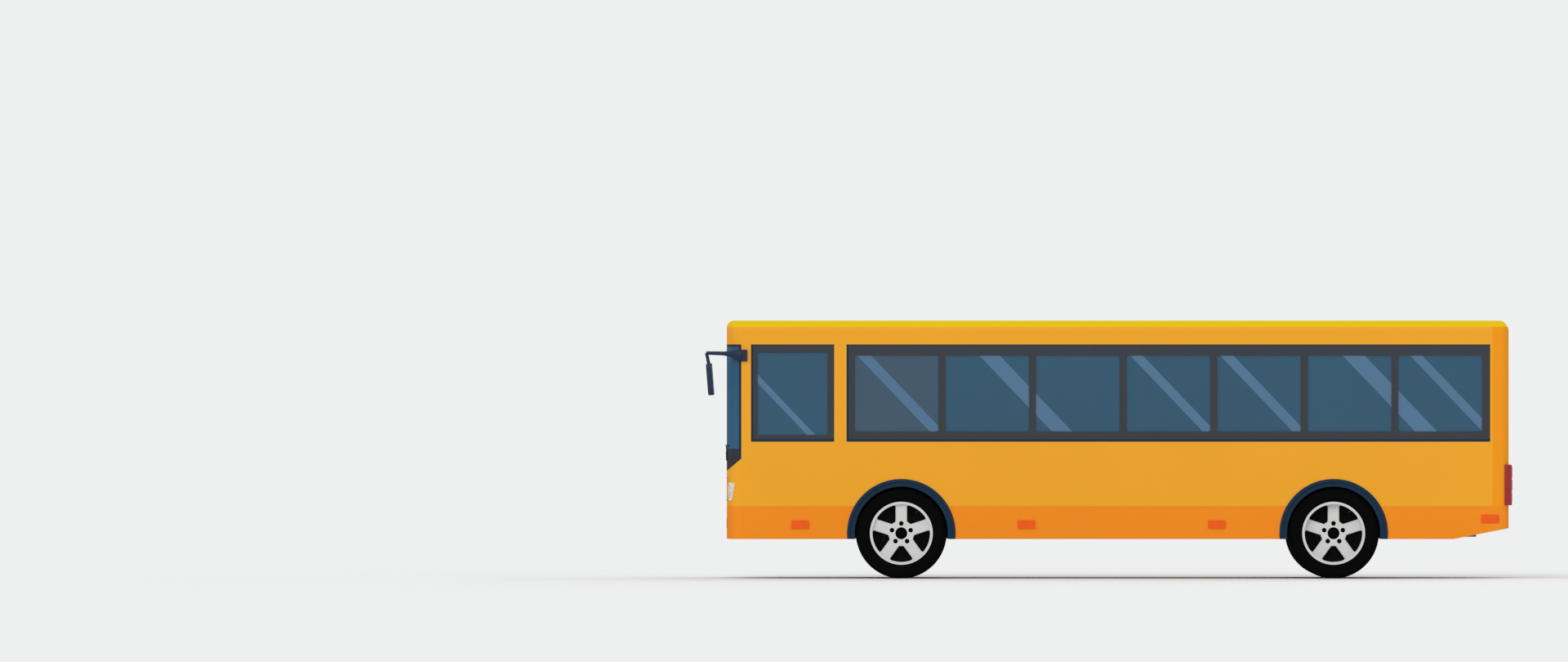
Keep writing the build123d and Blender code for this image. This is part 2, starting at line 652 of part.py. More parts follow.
def placed(shape, axle, side):
    """Takes a wheel from its own axis along Z to its axle, with its face outwards."""
    right = Pos(AXLES[axle], TYRE_Y, TYRE_RADIUS) * Rot(-90, 0, 0) * Rot(0, 0, 180) * shape
    return right if side == "right" else mirrored(right)


def wheel_pieces():
    tyre = tyre_ring()
    twin = Pos(0, 0, -TWIN_PITCH) * tyre
    single, double = front_wheel(), rear_wheel()
    for side in SIDES:
        save(f"front_wheel_{side}", placed(single, "front", side))
        save(f"front_tyre_{side}", placed(tyre, "front", side))
        save(f"rear_wheels_{side}", placed(double, "rear", side))
        save(f"rear_tyres_{side}", placed(tyre, "rear", side), placed(twin, "rear", side))


# Axles, knuckles and tie rod: sizes and heights
BEAM_WIDTH = 90
BEAM_DEPTH = 100
BEAM_DROP = 75
BEAM_FLANGE = 18
BEAM_FLAT_Y = 560
BOSS_RADIUS = 42
BOSS_HALF = 50
YOKE_GAP = 5
YOKE_THICKNESS = 34
PLATE_RADIUS = 205
PLATE_THICKNESS = 10
ROD_RADIUS = 17
EYE_RADIUS = 26
EYE_HALF = 22
ARM_LOW = TYRE_RADIUS - BOSS_HALF - YOKE_GAP - YOKE_THICKNESS
ROD_Z = ARM_LOW - YOKE_GAP - EYE_HALF
PIN_RADIUS = 11
PIN_CLEARANCE = 0.5
REAR_TUBE_RADIUS = 82
BANJO_RADIUS = 205
SPRING_Y = 365
SPRING_HALF_LENGTH = 680
SPRING_WIDTH = 76
SPRING_THICKNESS = 36
SPRING_END_THICKNESS = 24
AXLE_TOP = TYRE_RADIUS + 84
JACK_PAD_Z = TYRE_RADIUS - REAR_TUBE_RADIUS - 12
PINION_REACH = 330


def front_beam():
    """Dropped beam of I section with a boss at each end, bored for the kingpins."""
    x = AXLES["front"]
    top, depth = TYRE_RADIUS + BEAM_DEPTH / 2, BEAM_DEPTH
    low = top - BEAM_DROP
    y0, y1 = BEAM_FLAT_Y, KINGPIN_Y - BOSS_RADIUS + 10
    rise = y0 + 140
    upper = [(-y1, top), (-rise, top), (-y0, low), (y0, low), (rise, top), (y1, top)]
    lower = [(y, z - depth) for y, z in reversed(upper)]
    outline = make_face(Plane.YZ * Polyline(*upper, *lower, close=True))
    beam = Pos(x, 0, 0) * extrude(outline, BEAM_WIDTH / 2, both=True)
    f = BEAM_FLANGE
    groove_upper = [(y * 0.985, z - f) for y, z in upper]
    groove_lower = [(y * 0.985, z + f) for y, z in lower]
    groove = make_face(Plane.YZ * Polyline(*groove_upper, *groove_lower, close=True))
    for way in (-1, 1):
        beam -= Pos(x + way * BEAM_WIDTH / 2, 0, 0) * extrude(groove, BEAM_FLANGE + 10, both=True)
    for y in (-KINGPIN_Y, KINGPIN_Y):
        beam += rod((x, y, TYRE_RADIUS - BOSS_HALF), (x, y, TYRE_RADIUS + BOSS_HALF), BOSS_RADIUS)
        beam -= rod((x, y, 0), (x, y, 2 * TYRE_RADIUS), KINGPIN_RADIUS + SPINDLE_CLEARANCE)
    pad_y = SPRING_WIDTH / 2
    for y in (-SPRING_Y, SPRING_Y):
        beam += block(x - 70, x + 70, y - pad_y, y + pad_y, low - f, AXLE_TOP)
    return beam


def knuckle():
    """Right-hand knuckle: yoke, kingpin, spindle, brake backing plate and steering arm."""
    x, y, z = AXLES["front"], KINGPIN_Y, TYRE_RADIUS
    gap, t = BOSS_HALF + YOKE_GAP, YOKE_THICKNESS
    body = rod((x, y, z - gap - t), (x, y, z + gap + t), KINGPIN_RADIUS)
    face_y = TYRE_Y + DRUM_BACK + 18
    for low in (z - gap - t, z + gap):
        body += rod((x, y, low), (x, y, low + t), BOSS_RADIUS)
        body += block(x - BOSS_RADIUS, x + BOSS_RADIUS, y, face_y, low, low + t)
    body += drum(x, z, face_y, face_y + PLATE_THICKNESS, PLATE_RADIUS)
    body += drum(x, z, face_y, TYRE_Y + SPINDLE_END, SPINDLE_RADIUS)
    arm_low, arm_top = ARM_LOW, ARM_LOW + 24
    eye_x = x + STEER_ARM
    body += block(x, eye_x, y - 20, y + 20, arm_low, arm_top)
    body += rod((eye_x, y, arm_low), (eye_x, y, arm_top), EYE_RADIUS - 4)
    body += rod((eye_x, y, ROD_Z - EYE_HALF), (eye_x, y, arm_low + 1), PIN_RADIUS)
    return body


def tie_rod():
    """Bar between the two steering arms, with an eye on each arm's pin."""
    x = AXLES["front"] + STEER_ARM
    y = KINGPIN_Y
    bar = rod((x, -y + EYE_RADIUS - 6, ROD_Z), (x, y - EYE_RADIUS + 6, ROD_Z), ROD_RADIUS)
    for end in (-y, y):
        bar += rod((x, end, ROD_Z - EYE_HALF), (x, end, ROD_Z + EYE_HALF), EYE_RADIUS)
        bar -= rod((x, end, 0), (x, end, 2 * ROD_Z), PIN_RADIUS + PIN_CLEARANCE)
    return bar


def rear_axle():
    """Drive axle: banjo housing, tubes, spring pads, backing plates and spindles in one."""
    x, z = AXLES["rear"], TYRE_RADIUS
    plate_y = TYRE_Y + REAR_DRUM_BACK + 18
    end_y = TYRE_Y + REAR_SPINDLE_END
    axle = drum(x, z, -plate_y, plate_y, REAR_TUBE_RADIUS)
    bowl = Pos(x, 0, z) * Rot(0, 90, 0) * extrude(Circle(BANJO_RADIUS), 105, both=True)
    bowl = chamfer(bowl.edges(), 60)
    axle += bowl
    axle += rod((x + 90, 0, z), (x + PINION_REACH, 0, z), 70)
    axle += drum(x, z, -end_y, end_y, SPINDLE_RADIUS)
    pad_y = SPRING_WIDTH / 2
    for side in (-1, 1):
        axle += drum(x, z, side * plate_y, side * (plate_y + PLATE_THICKNESS), PLATE_RADIUS)
        y = side * SPRING_Y
        axle += block(x - 70, x + 70, y - pad_y, y + pad_y, JACK_PAD_Z, AXLE_TOP)
    return axle


def leaf_spring(axle):
    """One leaf pack with both hangers, resting on its axle pad and held to the rail above."""
    x = AXLES[axle]
    half, w, t = SPRING_HALF_LENGTH, SPRING_WIDTH / 2, SPRING_THICKNESS
    low, ends = AXLE_TOP, RAIL_BOTTOM - 34
    with BuildSketch(Plane.XZ) as profile:
        with BuildLine():
            end_top = ends + SPRING_END_THICKNESS
            top = ThreePointArc((-half, end_top), (0, low + t), (half, end_top))
            bottom = ThreePointArc((-half, ends), (0, low), (half, ends))
            Line(top @ 0, bottom @ 0)
            Line(top @ 1, bottom @ 1)
        make_face()
    pack = extrude(profile.sketch, w, both=True)
    for end in (-half, half):
        pack += block(end - 34, end + 34, -w, w, ends - 12, RAIL_BOTTOM)
    return Pos(x, SPRING_Y, 0) * pack


RAIL_START = 62
RAIL_END = BODY_LENGTH - 270
AFTER_FRONT_AXLE = FRONT_AXLE + 727
BEFORE_REAR_AXLE = REAR_AXLE - 733
THIRD = (BEFORE_REAR_AXLE - AFTER_FRONT_AXLE) / 3
CROSS_MEMBERS = (RAIL_START + 48, 700, FRONT_AXLE - 733, AFTER_FRONT_AXLE, AFTER_FRONT_AXLE + THIRD,
                 BEFORE_REAR_AXLE - THIRD, BEFORE_REAR_AXLE, REAR_AXLE + 497, RAIL_END - 45)


def chassis_rail():
    """Right-hand rail: a channel, open towards the middle."""
    rail = block(at(RAIL_START), at(RAIL_END), RAIL_OUTER_Y - RAIL_FLANGE, RAIL_OUTER_Y, RAIL_BOTTOM, RAIL_TOP)
    w = RAIL_WEB
    return rail - block(at(0), at(BODY_LENGTH), 0, RAIL_OUTER_Y - w, RAIL_BOTTOM + w, RAIL_TOP - w)


def cross_member(from_front):
    """A shallow channel between the two rails."""
    x, half = at(from_front), RAIL_OUTER_Y - RAIL_WEB
    low, top = RAIL_BOTTOM + RAIL_WEB, RAIL_TOP - RAIL_WEB
    bar = block(x - 40, x + 40, -half, half, low, top)
    return bar - block(x - 40 + RAIL_WEB, x + 41, -half - 1, half + 1, low + RAIL_WEB, top - RAIL_WEB)


# Towing lugs, from front to rear: start, end and bore, as lengths from the front
TOW_LUGS = ((RAIL_START, RAIL_START + 128, RAIL_START + 53), (RAIL_END - 80, RAIL_END + 30, RAIL_END - 25))
TOW_LUG_HALF_WIDTH = 60
TOW_LUG_THICKNESS = 38
TOW_BORE_RADIUS = 20


def tow_lug(start, end, bore):
    """Plate below an end cross member, bored upright for a towing pin."""
    top = RAIL_BOTTOM + RAIL_WEB
    low = top - TOW_LUG_THICKNESS
    plate = zone(start, end, low, top, -TOW_LUG_HALF_WIDTH, TOW_LUG_HALF_WIDTH)
    return plate - rod((at(bore), 0, low - 1), (at(bore), 0, top + 1), TOW_BORE_RADIUS)


# Floor bearers run across, from side to side, between the rails and the floor
BEARER_GAP = 60
BEARERS = (FRONT_DOOR[0] - BEARER_GAP, sum(FRONT_DOOR) + BEARER_GAP, FRONT_AXLE + 657,
           MIDDLE_DOOR[0] - BEARER_GAP, sum(MIDDLE_DOOR) + BEARER_GAP,
           (sum(MIDDLE_DOOR) + BEARER_GAP + REAR_AXLE - 673) / 2, REAR_AXLE - 673, REAR_AXLE + 677, RAIL_END - 50)
BEARER_WIDTH = 60


def floor_bearer(from_front):
    half = BEARER_WIDTH / 2
    return zone(from_front - half, from_front + half, RAIL_TOP, FLOOR_BOTTOM, -INNER_Y, INNER_Y)


def chassis_pieces():
    save("chassis_rails", chassis_rail(), mirrored(chassis_rail()))
    members = [cross_member(d) for d in CROSS_MEMBERS]
    members[0] += tow_lug(*TOW_LUGS[0])
    members[-1] += tow_lug(*TOW_LUGS[1])
    save("cross_members", *members, *[floor_bearer(d) for d in BEARERS])
    save("front_axle_beam", front_beam())
    save("rear_axle", rear_axle())
    right = knuckle()
    save("knuckle_right", right)
    save("knuckle_left", mirrored(right))
    save("tie_rod", tie_rod())
    springs = [leaf_spring("front"), leaf_spring("rear")]
    save("leaf_springs", *springs, *[mirrored(s) for s in springs])


# Doors. Each leaf hangs on a pair of arms, and its outer edge follows the doorway while it turns inwards.
ARM_WIDTH = 26
PIN_DEPTH = 18
SILL_PIN_DEPTH = 8
DOOR_PIN_RADIUS = 8
DOOR_PIN_CLEARANCE = 1
LEAF_PANES = ((DOOR_SILL + 170, DOOR_SILL + 870), (DOOR_SILL + 940, DOOR_HEAD - 84))
LEAF_Y = HALF - LEAF_RECESS - LEAF_THICKNESS / 2
ARM_GAP = (LEAF_BOTTOM_GAP - ARM_THICKNESS) / 2
LEAF_BOTTOM = DOOR_SILL + LEAF_BOTTOM_GAP
LEAF_TOP = DOOR_HEAD - LEAF_TOP_GAP
DOORS = {"front": FRONT_DOOR, "middle": MIDDLE_DOOR}


def leaf_places(door):
    """For each leaf: its name, the x of its pivot, the way it points, and its arm's length."""
    start, width = door
    arm = (width / 2 - LEAF_PIVOT_INSET - LEAF_MEETING_GAP / 2 - LEAF_MARGIN) / 2
    return (("fore", at(start) + LEAF_PIVOT_INSET, 1, arm),
            ("aft", at(start + width) - LEAF_PIVOT_INSET, -1, arm))


def door_leaf(pivot, way, arm):
    """The leaf's frame and its two panes."""
    x0, x1 = pivot - way * LEAF_MARGIN, pivot + way * (2 * arm + LEAF_MARGIN)
    y0, y1 = LEAF_Y - LEAF_THICKNESS / 2, LEAF_Y + LEAF_THICKNESS / 2
    frame = block(x0, x1, y0, y1, LEAF_BOTTOM, LEAF_TOP)
    low, high = min(x0, x1) + LEAF_BORDER, max(x0, x1) - LEAF_BORDER
    panes = []
    for bottom, top in LEAF_PANES:
        frame -= rounded_xz(low, high, bottom, top, PANE_CORNER_RADIUS, y0 - 1, y1 + 1)
        e, gy = GLASS_REBATE, LEAF_Y + GLASS / 2
        frame -= rounded_xz(low - e, high + e, bottom - e, top + e, PANE_CORNER_RADIUS, y0 - 1, gy)
        panes.append(rounded_xz(low - e, high + e, bottom - e, top + e, PANE_CORNER_RADIUS, gy - GLASS, gy))
    bore = DOOR_PIN_RADIUS + DOOR_PIN_CLEARANCE
    middle = pivot + way * arm
    for z in (LEAF_BOTTOM, LEAF_TOP):
        frame -= rod((middle, LEAF_Y, z - PIN_DEPTH - 2), (middle, LEAF_Y, z + PIN_DEPTH + 2), bore)
    return frame, panes


def door_arms(pivot, way, arm):
    """Lower and upper arm of one leaf, each with a pin into the body and a pin into the leaf."""
    arms = []
    middle = pivot + way * arm
    for leaf_end, body_face, out in ((LEAF_BOTTOM, DOOR_SILL, -1), (LEAF_TOP, DOOR_HEAD, 1)):
        z0 = leaf_end + out * ARM_GAP
        z1 = z0 + out * ARM_THICKNESS
        bar = block(pivot, middle, LEAF_Y - ARM_WIDTH / 2, LEAF_Y + ARM_WIDTH / 2, z0, z1)
        for x in (pivot, middle):
            bar += rod((x, LEAF_Y, min(z0, z1)), (x, LEAF_Y, max(z0, z1)), ARM_WIDTH / 2)
        far, near = body_face + out * SILL_PIN_DEPTH, leaf_end - out * PIN_DEPTH
        bar += rod((pivot, LEAF_Y, min(z1, far)), (pivot, LEAF_Y, max(z1, far)), DOOR_PIN_RADIUS)
        bar += rod((middle, LEAF_Y, min(z0, near)), (middle, LEAF_Y, max(z0, near)), DOOR_PIN_RADIUS)
        arms.append(bar)
    return arms


def pivot_bores(door):
    """Holes for the arms' pins in the sill and in the head of a doorway."""
    bore = DOOR_PIN_RADIUS + DOOR_PIN_CLEARANCE
    holes = []
    for _, pivot, _, _ in leaf_places(door):
        holes.append(rod((pivot, LEAF_Y, DOOR_SILL - 3 * STEP_SHEET), (pivot, LEAF_Y, DOOR_SILL + 1), bore))
        holes.append(rod((pivot, LEAF_Y, DOOR_HEAD - 1), (pivot, LEAF_Y, DOOR_HEAD + PIN_DEPTH), bore))
    return holes


def door_pieces():
    for name, door in DOORS.items():
        for leaf, pivot, way, arm in leaf_places(door):
            frame, panes = door_leaf(pivot, way, arm)
            save(f"{name}_door_{leaf}_leaf", frame)
            save(f"{name}_door_{leaf}_glass", *panes)
            save(f"{name}_door_{leaf}_arms", *door_arms(pivot, way, arm))


# Cab and saloon
DRIVER_FROM_WALL = 475
DRIVER_Y = DRIVER_FROM_WALL - INNER_Y
DRIVER_SEAT_X = 880
WHEEL_CENTRE = (610, 1580)
WHEEL_TILT = 28
WHEEL_RADIUS = 230
WHEEL_GRIP = 16
GRIP_SIDES = 8
COLUMN_RADIUS = 32
SHAFT_RADIUS = 16
WHEEL_PLACE = Pos(at(WHEEL_CENTRE[0]), DRIVER_Y, WHEEL_CENTRE[1]) * Rot(0, WHEEL_TILT, 0)
DASH_FRONT = 70
DASH_BACK = 470
DASH_TOP = 1500
DASH_SLOPE = 70
DASH_RIGHT_GAP = 82
PEDESTAL_HALF = 170
CUSHION_HEIGHT = 330
CUSHION_LENGTH = 450
CUSHION_HALF = 250
CUSHION_THICKNESS = 110
BACKREST_HEIGHT = 740
BACKREST_THICKNESS = 90
BACKREST_LEAN = 7
SEAT_WIDTH = 435
SEAT_PAN = 430
SEAT_BACK = 640
SEAT_BACK_LEAN = 95
SEAT_THICKNESS = 42
SEAT_HEIGHT = 430
SEAT_TUBE_RADIUS = 24
SEAT_LEG_Y = INNER_Y - 835
SEAT_PITCH = 700
FIRST_SEAT = 1720
SEAT_ROOM = 555
DECK_FRONT = BODY_LENGTH - 1200
DECK_TOP = 1150
DECK_STEP = 230
AISLE_HALF = 255
BENCH_FRONT = BODY_LENGTH - 660
BENCH_SEATS = 5
BENCH_END_GAP = 15
SHEET = 20
PARTITION_X = 1480
PARTITION_TOP = BODY_TOP - 900
PARTITION_REACH = 360
POLE_RADIUS = 17
POLE_Y = 300
HAND_RAIL_Y = INNER_Y - 735
HAND_RAIL_Z = BODY_TOP - 260
HAND_RAIL_HANGERS = 5
DISPLAY_BACK = 150
DISPLAY_BOTTOM = BODY_TOP - 550
DISPLAY_TOP = BODY_TOP - 220
DISPLAY_SIDE = 595


def seat_rows():
    """Front edges of the double seats on each side; the right side leaves the middle door free."""
    count = int((DECK_FRONT - SEAT_ROOM - FIRST_SEAT) // SEAT_PITCH) + 1
    rows = [FIRST_SEAT + k * SEAT_PITCH for k in range(count)]
    free = [x for x in rows if x + SEAT_ROOM < MIDDLE_DOOR[0] or x > sum(MIDDLE_DOOR)]
    return {"left": rows, "right": free}


SEAT_ROWS = seat_rows()
POLES = {"left": (PARTITION_X + 120, SEAT_ROWS["left"][3] - 75, SEAT_ROWS["left"][6] - 75),
         "right": (PARTITION_X + 120, MIDDLE_DOOR[0] + 20, sum(MIDDLE_DOOR) + 50)}


def seat_shell(width):
    """One moulded seat about its front edge at floor level, facing -X, as a side outline run across."""
    h, t, pan, lean = SEAT_HEIGHT, SEAT_THICKNESS, SEAT_PAN, SEAT_BACK_LEAN
    top = h + SEAT_BACK
    outline = Polyline((0, h), (pan - 30, h - 18), (pan + lean, top), (pan + lean + t * 0.7, top - 8),
                       (pan + 22, h - 48), (pan - 10, h - 18 - t), (0, h - t), close=True)
    side = make_face(outline)
    side = fillet(side.vertices().filter_by(lambda v: v.Y > top - 10), 9)
    side = fillet(side.vertices().filter_by(lambda v: abs(v.X - pan + 30) < 1), 60)
    side = fillet(side.vertices().filter_by(lambda v: v.X < 1 and v.Y > h - 1), 18)
    return extrude(Plane.XZ * side, width / 2, both=True)


def double_seat(x, side):
    """Two shells on one cross tube, which a leg carries by the aisle and the wall outside."""
    inner, outer = INNER_Y - SEAT_WIDTH * 1.5 - 25, INNER_Y - SEAT_WIDTH / 2 - 10
    seat = Pos(x, inner, FLOOR_TOP) * seat_shell(SEAT_WIDTH)
    seat += Pos(x, outer, FLOOR_TOP) * seat_shell(SEAT_WIDTH)
    tube_z = FLOOR_TOP + SEAT_HEIGHT - 75
    tube_x = x + SEAT_PAN / 2
    leg_y = SEAT_LEG_Y + 20
    seat += drum(tube_x, tube_z, SEAT_LEG_Y - 10, INNER_Y, SEAT_TUBE_RADIUS)
    seat += rod((tube_x, leg_y, FLOOR_TOP), (tube_x, leg_y, tube_z), SEAT_TUBE_RADIUS)
    return seat if side == "right" else mirrored(seat)


def rear_deck():
    """Raised floor over the engine, from wall to wall, with a step up to it from the aisle."""
    room = Pos(0, 0, FLOOR_TOP) * extrude(plan_outline(WALL), DECK_TOP - FLOOR_TOP)
    deck = room & zone(DECK_FRONT, BODY_LENGTH, 0, 9999)
    deck -= zone(DECK_FRONT + SHEET, BODY_LENGTH, 0, DECK_TOP - SHEET)
    middle = (FLOOR_TOP + DECK_TOP) / 2
    return deck + zone(DECK_FRONT - DECK_STEP, DECK_FRONT + 1, FLOOR_TOP, middle, -AISLE_HALF, AISLE_HALF)


def rear_bench():
    """Row of seats on a plinth across the whole deck."""
    step = 2 * (INNER_Y - BENCH_END_GAP) / BENCH_SEATS
    pan_low = DECK_TOP + SEAT_HEIGHT - SEAT_THICKNESS - 18
    half = INNER_Y - 2 * BENCH_END_GAP
    bench = zone(BENCH_FRONT + 110, BENCH_FRONT + 400, DECK_TOP, pan_low + 12, -half, half)
    for k in range(BENCH_SEATS):
        y = (k - (BENCH_SEATS - 1) / 2) * step
        bench += Pos(at(BENCH_FRONT), y, DECK_TOP) * seat_shell(step - 12)
    return bench


def steering_wheel():
    """Rim, three spokes, boss and the turning shaft, about Z, boss at the origin."""
    grip = Plane.XZ * Pos(WHEEL_RADIUS, 0) * RegularPolygon(WHEEL_GRIP, GRIP_SIDES)
    wheel = revolve(grip, Axis.Z)
    for k in range(3):
        wheel += Rot(0, 0, 90 + k * 120) * block(0, WHEEL_RADIUS, -15, 15, -6, 6)
    wheel += Pos(0, 0, -30) * extrude(Circle(52), 44)
    return wheel + Pos(0, 0, -90) * extrude(Circle(SHAFT_RADIUS), 70)


def along_column(distance):
    """A point on the steering column, below the boss of the wheel."""
    tilt = math.radians(WHEEL_TILT)
    x, z = at(WHEEL_CENTRE[0]), WHEEL_CENTRE[1]
    return (x - distance * math.sin(tilt), DRIVER_Y, z - distance * math.cos(tilt))


def dashboard():
    """Moulded console across the cab with the steering column standing in it."""
    front, back, top = at(DASH_FRONT), at(DASH_BACK), DASH_TOP
    outline = Polyline((front, FLOOR_TOP), (back - 60, FLOOR_TOP), (back - 30, top - 170), (back, top - 60),
                       (back - 60, top), (front + 40, top - DASH_SLOPE), (front, top - DASH_SLOPE - 50), close=True)
    console = extrude(make_face(Plane.XZ * outline), FAR, both=True)
    console &= block(FRONT, REAR, 1 - INNER_Y, STEP_TOP_Y - DASH_RIGHT_GAP, 0, 9999)
    console &= extrude(plan_outline(WALL + 6), BODY_TOP)
    console += rod(along_column(420), along_column(50), COLUMN_RADIUS)
    return console - rod(along_column(100), along_column(0), SHAFT_RADIUS + SPINDLE_CLEARANCE)


def driver_seat():
    """Sprung pedestal, cushion and a tall back."""
    x, y, half = at(DRIVER_SEAT_X), DRIVER_Y, CUSHION_HALF
    low = FLOOR_TOP + CUSHION_HEIGHT
    pedestal = block(x + 60, x + 380, y - PEDESTAL_HALF, y + PEDESTAL_HALF, FLOOR_TOP, low + 1)
    cushion = block(x, x + CUSHION_LENGTH, y - half, y + half, low, low + CUSHION_THICKNESS)
    seat = pedestal + fillet(cushion.edges().filter_by(Axis.Y), 35)
    back = Box(BACKREST_THICKNESS, 2 * half - 30, BACKREST_HEIGHT)
    back = fillet(back.edges().filter_by(Axis.Y), 30)
    foot = Pos(x + CUSHION_LENGTH - 30, y, low + 70) * Rot(0, BACKREST_LEAN, 0)
    return seat + foot * Pos(0, 0, BACKREST_HEIGHT / 2 - 30) * back


def partition():
    """Screen behind the driver."""
    panel = zone(PARTITION_X, PARTITION_X + 30, FLOOR_TOP, PARTITION_TOP, -INNER_Y, DRIVER_Y + PARTITION_REACH)
    corner = panel.edges().filter_by(Axis.X).sort_by(Axis.Y)[-2:].sort_by(Axis.Z)[-1:]
    return fillet(corner, 60)


def grab_rails():
    poles = []
    for side, way in SIDES.items():
        for from_front in POLES[side]:
            x = at(from_front)
            poles.append(rod((x, way * POLE_Y, FLOOR_TOP), (x, way * POLE_Y, BODY_TOP), POLE_RADIUS) & INNER)
        x0, x1, y = at(PARTITION_X + 420), at(DECK_FRONT - 300), way * HAND_RAIL_Y
        bar = rod((x0, y, HAND_RAIL_Z), (x1, y, HAND_RAIL_Z), POLE_RADIUS)
        for k in range(HAND_RAIL_HANGERS):
            x = x0 + 30 + k * (x1 - x0 - 60) / (HAND_RAIL_HANGERS - 1)
            bar += rod((x, y, HAND_RAIL_Z), (x, y, BODY_TOP), POLE_RADIUS - 5) & INNER
        poles.append(bar)
    return poles


def saloon_pieces():
    seats = [double_seat(at(x), side) for side, rows in SEAT_ROWS.items() for x in rows]
    save("passenger_seats", *seats, rear_bench())
    save("rear_deck", rear_deck())
    save("steering_wheel", WHEEL_PLACE * steering_wheel())
    save("dashboard", dashboard())
    save("driver_seat", driver_seat())
    save("driver_partition", partition())
    save("grab_rails", *grab_rails())
    half = HALF - DISPLAY_SIDE
    save("destination_display", INNER & zone(0, DISPLAY_BACK, DISPLAY_BOTTOM, DISPLAY_TOP, -half, half))


# Underfloor units
GEARBOX_HALF_WIDTH = 200
GEARBOX_TOP = 780
PROPSHAFT_RADIUS = 45
TANK = (FRONT_AXLE + 867, FRONT_AXLE + 2167, 500, 800, RAIL_OUTER_Y + 70, INNER_Y - 105)
TANK_ROUND = 55
TANK_STRAP_INSET = 220
TANK_STRAP_HALF = 25


def underfloor_pieces():
    engine = block(ENGINE_X0, ENGINE_X1, -ENGINE_HALF_WIDTH, ENGINE_HALF_WIDTH, ENGINE_BOTTOM, ENGINE_TOP)
    gearbox_front = ENGINE_X0 - GEARBOX_LENGTH
    half = GEARBOX_HALF_WIDTH
    engine += block(gearbox_front, ENGINE_X0, -half, half, ENGINE_BOTTOM, GEARBOX_TOP)
    low, foot = RAIL_BOTTOM + RAIL_WEB, RAIL_OUTER_Y - RAIL_WEB
    for x in (ENGINE_X0 + 90, ENGINE_X1 - 90):
        engine += block(x - 40, x + 40, -foot, foot, low, low + 40)
    save("engine_block", engine)
    shaft_start = AXLES["rear"] + PINION_REACH
    shaft = rod((shaft_start, 0, TYRE_RADIUS), (gearbox_front, 0, TYRE_RADIUS), PROPSHAFT_RADIUS)
    save("propshaft", shaft)
    x0, x1, z0, z1, y0, y1 = TANK
    tank = block(at(x0), at(x1), -y1, -y0, z0, z1)
    tank = fillet(tank.edges().filter_by(Axis.X), TANK_ROUND)
    strap = TANK_STRAP_HALF
    for x in (at(x0) + TANK_STRAP_INSET, at(x1) - TANK_STRAP_INSET):
        tank += block(x - strap, x + strap, -y0 - 60, -RAIL_OUTER_Y, z1 - 90, z1 - 10)
    save("fuel_tank", tank)


# Mirrors, from the front: mount, bend of the arm, and the hanging head
MIRROR_MOUNT = (165, 240, BODY_TOP - 473, BODY_TOP - 339)
MIRROR_ARM_Z = BODY_TOP - 378
MIRROR_HEAD = (BODY_TOP - 869, BODY_TOP - 500)
MIRROR_HEAD_X = -195
MIRROR_OUT = 85
MIRROR_HEAD_WIDTH = 220
MIRROR_HEAD_DEPTH = 66
MIRROR_HEAD_LEAN = 4.4
MIRROR_ARM_RADIUS = 18


def mirror_unit():
    """Right-hand mirror: block on the pillar, arm out in front, and the head that hangs from it."""
    m0, m1, mz0, mz1 = MIRROR_MOUNT
    y = HALF + 20
    out_y = HALF + MIRROR_OUT
    unit = block(at(m0), at(m1), HALF - 30, HALF + 34, mz0, mz1)
    unit = fillet(unit.edges().filter_by(Axis.X).sort_by(Axis.Y)[-2:], 16)
    root = (at(m0) + 6, y, MIRROR_ARM_Z - 12)
    tip = (FRONT - MIRROR_REACH + MIRROR_ARM_RADIUS, out_y, MIRROR_ARM_Z)
    a, b = Vector(*root), Vector(*tip)
    middle = a + (b - a) * 0.45
    plane = Plane(origin=a, z_dir=b - a)
    flare = loft([plane * Circle(42), Plane(origin=middle, z_dir=b - a) * Circle(MIRROR_ARM_RADIUS)])
    unit += flare + rod(tuple(middle), tip, MIRROR_ARM_RADIUS)
    unit += Pos(*tip) * Sphere(MIRROR_ARM_RADIUS)
    z0, z1 = MIRROR_HEAD
    lean = math.radians(MIRROR_HEAD_LEAN)
    head = Box(MIRROR_HEAD_DEPTH, MIRROR_HEAD_WIDTH, z1 - z0)
    head = fillet(head.edges().filter_by(Axis.X), 45)
    head = fillet(head.edges().group_by(Axis.X)[0], 18)
    centre = (at(MIRROR_HEAD_X), out_y + 10, (z0 + z1) / 2)
    unit += Pos(*centre) * Rot(0, -MIRROR_HEAD_LEAN, 0) * head
    neck = (at(MIRROR_HEAD_X) - (z1 - z0) / 2 * math.sin(lean) + 4, out_y, z1 - 30)
    return unit + rod(tip, neck, MIRROR_ARM_RADIUS - 2) - OUTER


WIPER_Z = SCREEN_BOTTOM + 22
WIPER_DROP = 145
WIPERS = ((205 - HALF, -130, -560), (-40, HALF - 375, 410))


def wiper(y0, y1, pivot_y):
    """A blade that lies along the glass, with its arm and the spindle boss below."""
    blade = Pos(0, 0, WIPER_Z) * extrude(plan_outline(-16) - plan_outline(-3), 22)
    blade &= block(FRONT - 40, at(FRONT_SEAM), y0, y1, 0, 9999)
    middle = (y0 + y1) / 2
    slope = Pos(0, middle, WIPER_Z + 11)
    foot_z = WIPER_Z - WIPER_DROP
    length = math.hypot(pivot_y - middle, WIPER_DROP)
    angle = math.degrees(math.atan2(pivot_y - middle, WIPER_DROP))
    arm = extrude(plan_outline(-30) - plan_outline(-14), 9999)
    arm &= slope * Rot(angle, 0, 0) * block(FRONT - 60, at(FRONT_SEAM), -12, 12, -length, 0)
    hub = rod((FRONT - 34, pivot_y, foot_z), (FRONT + 30, pivot_y, foot_z), 24) - OUTER
    return blade + arm + hub


def outside_pieces():
    unit = mirror_unit()
    save("mirrors", unit, mirrored(unit))
    save("wipers", *[wiper(*w) for w in WIPERS])


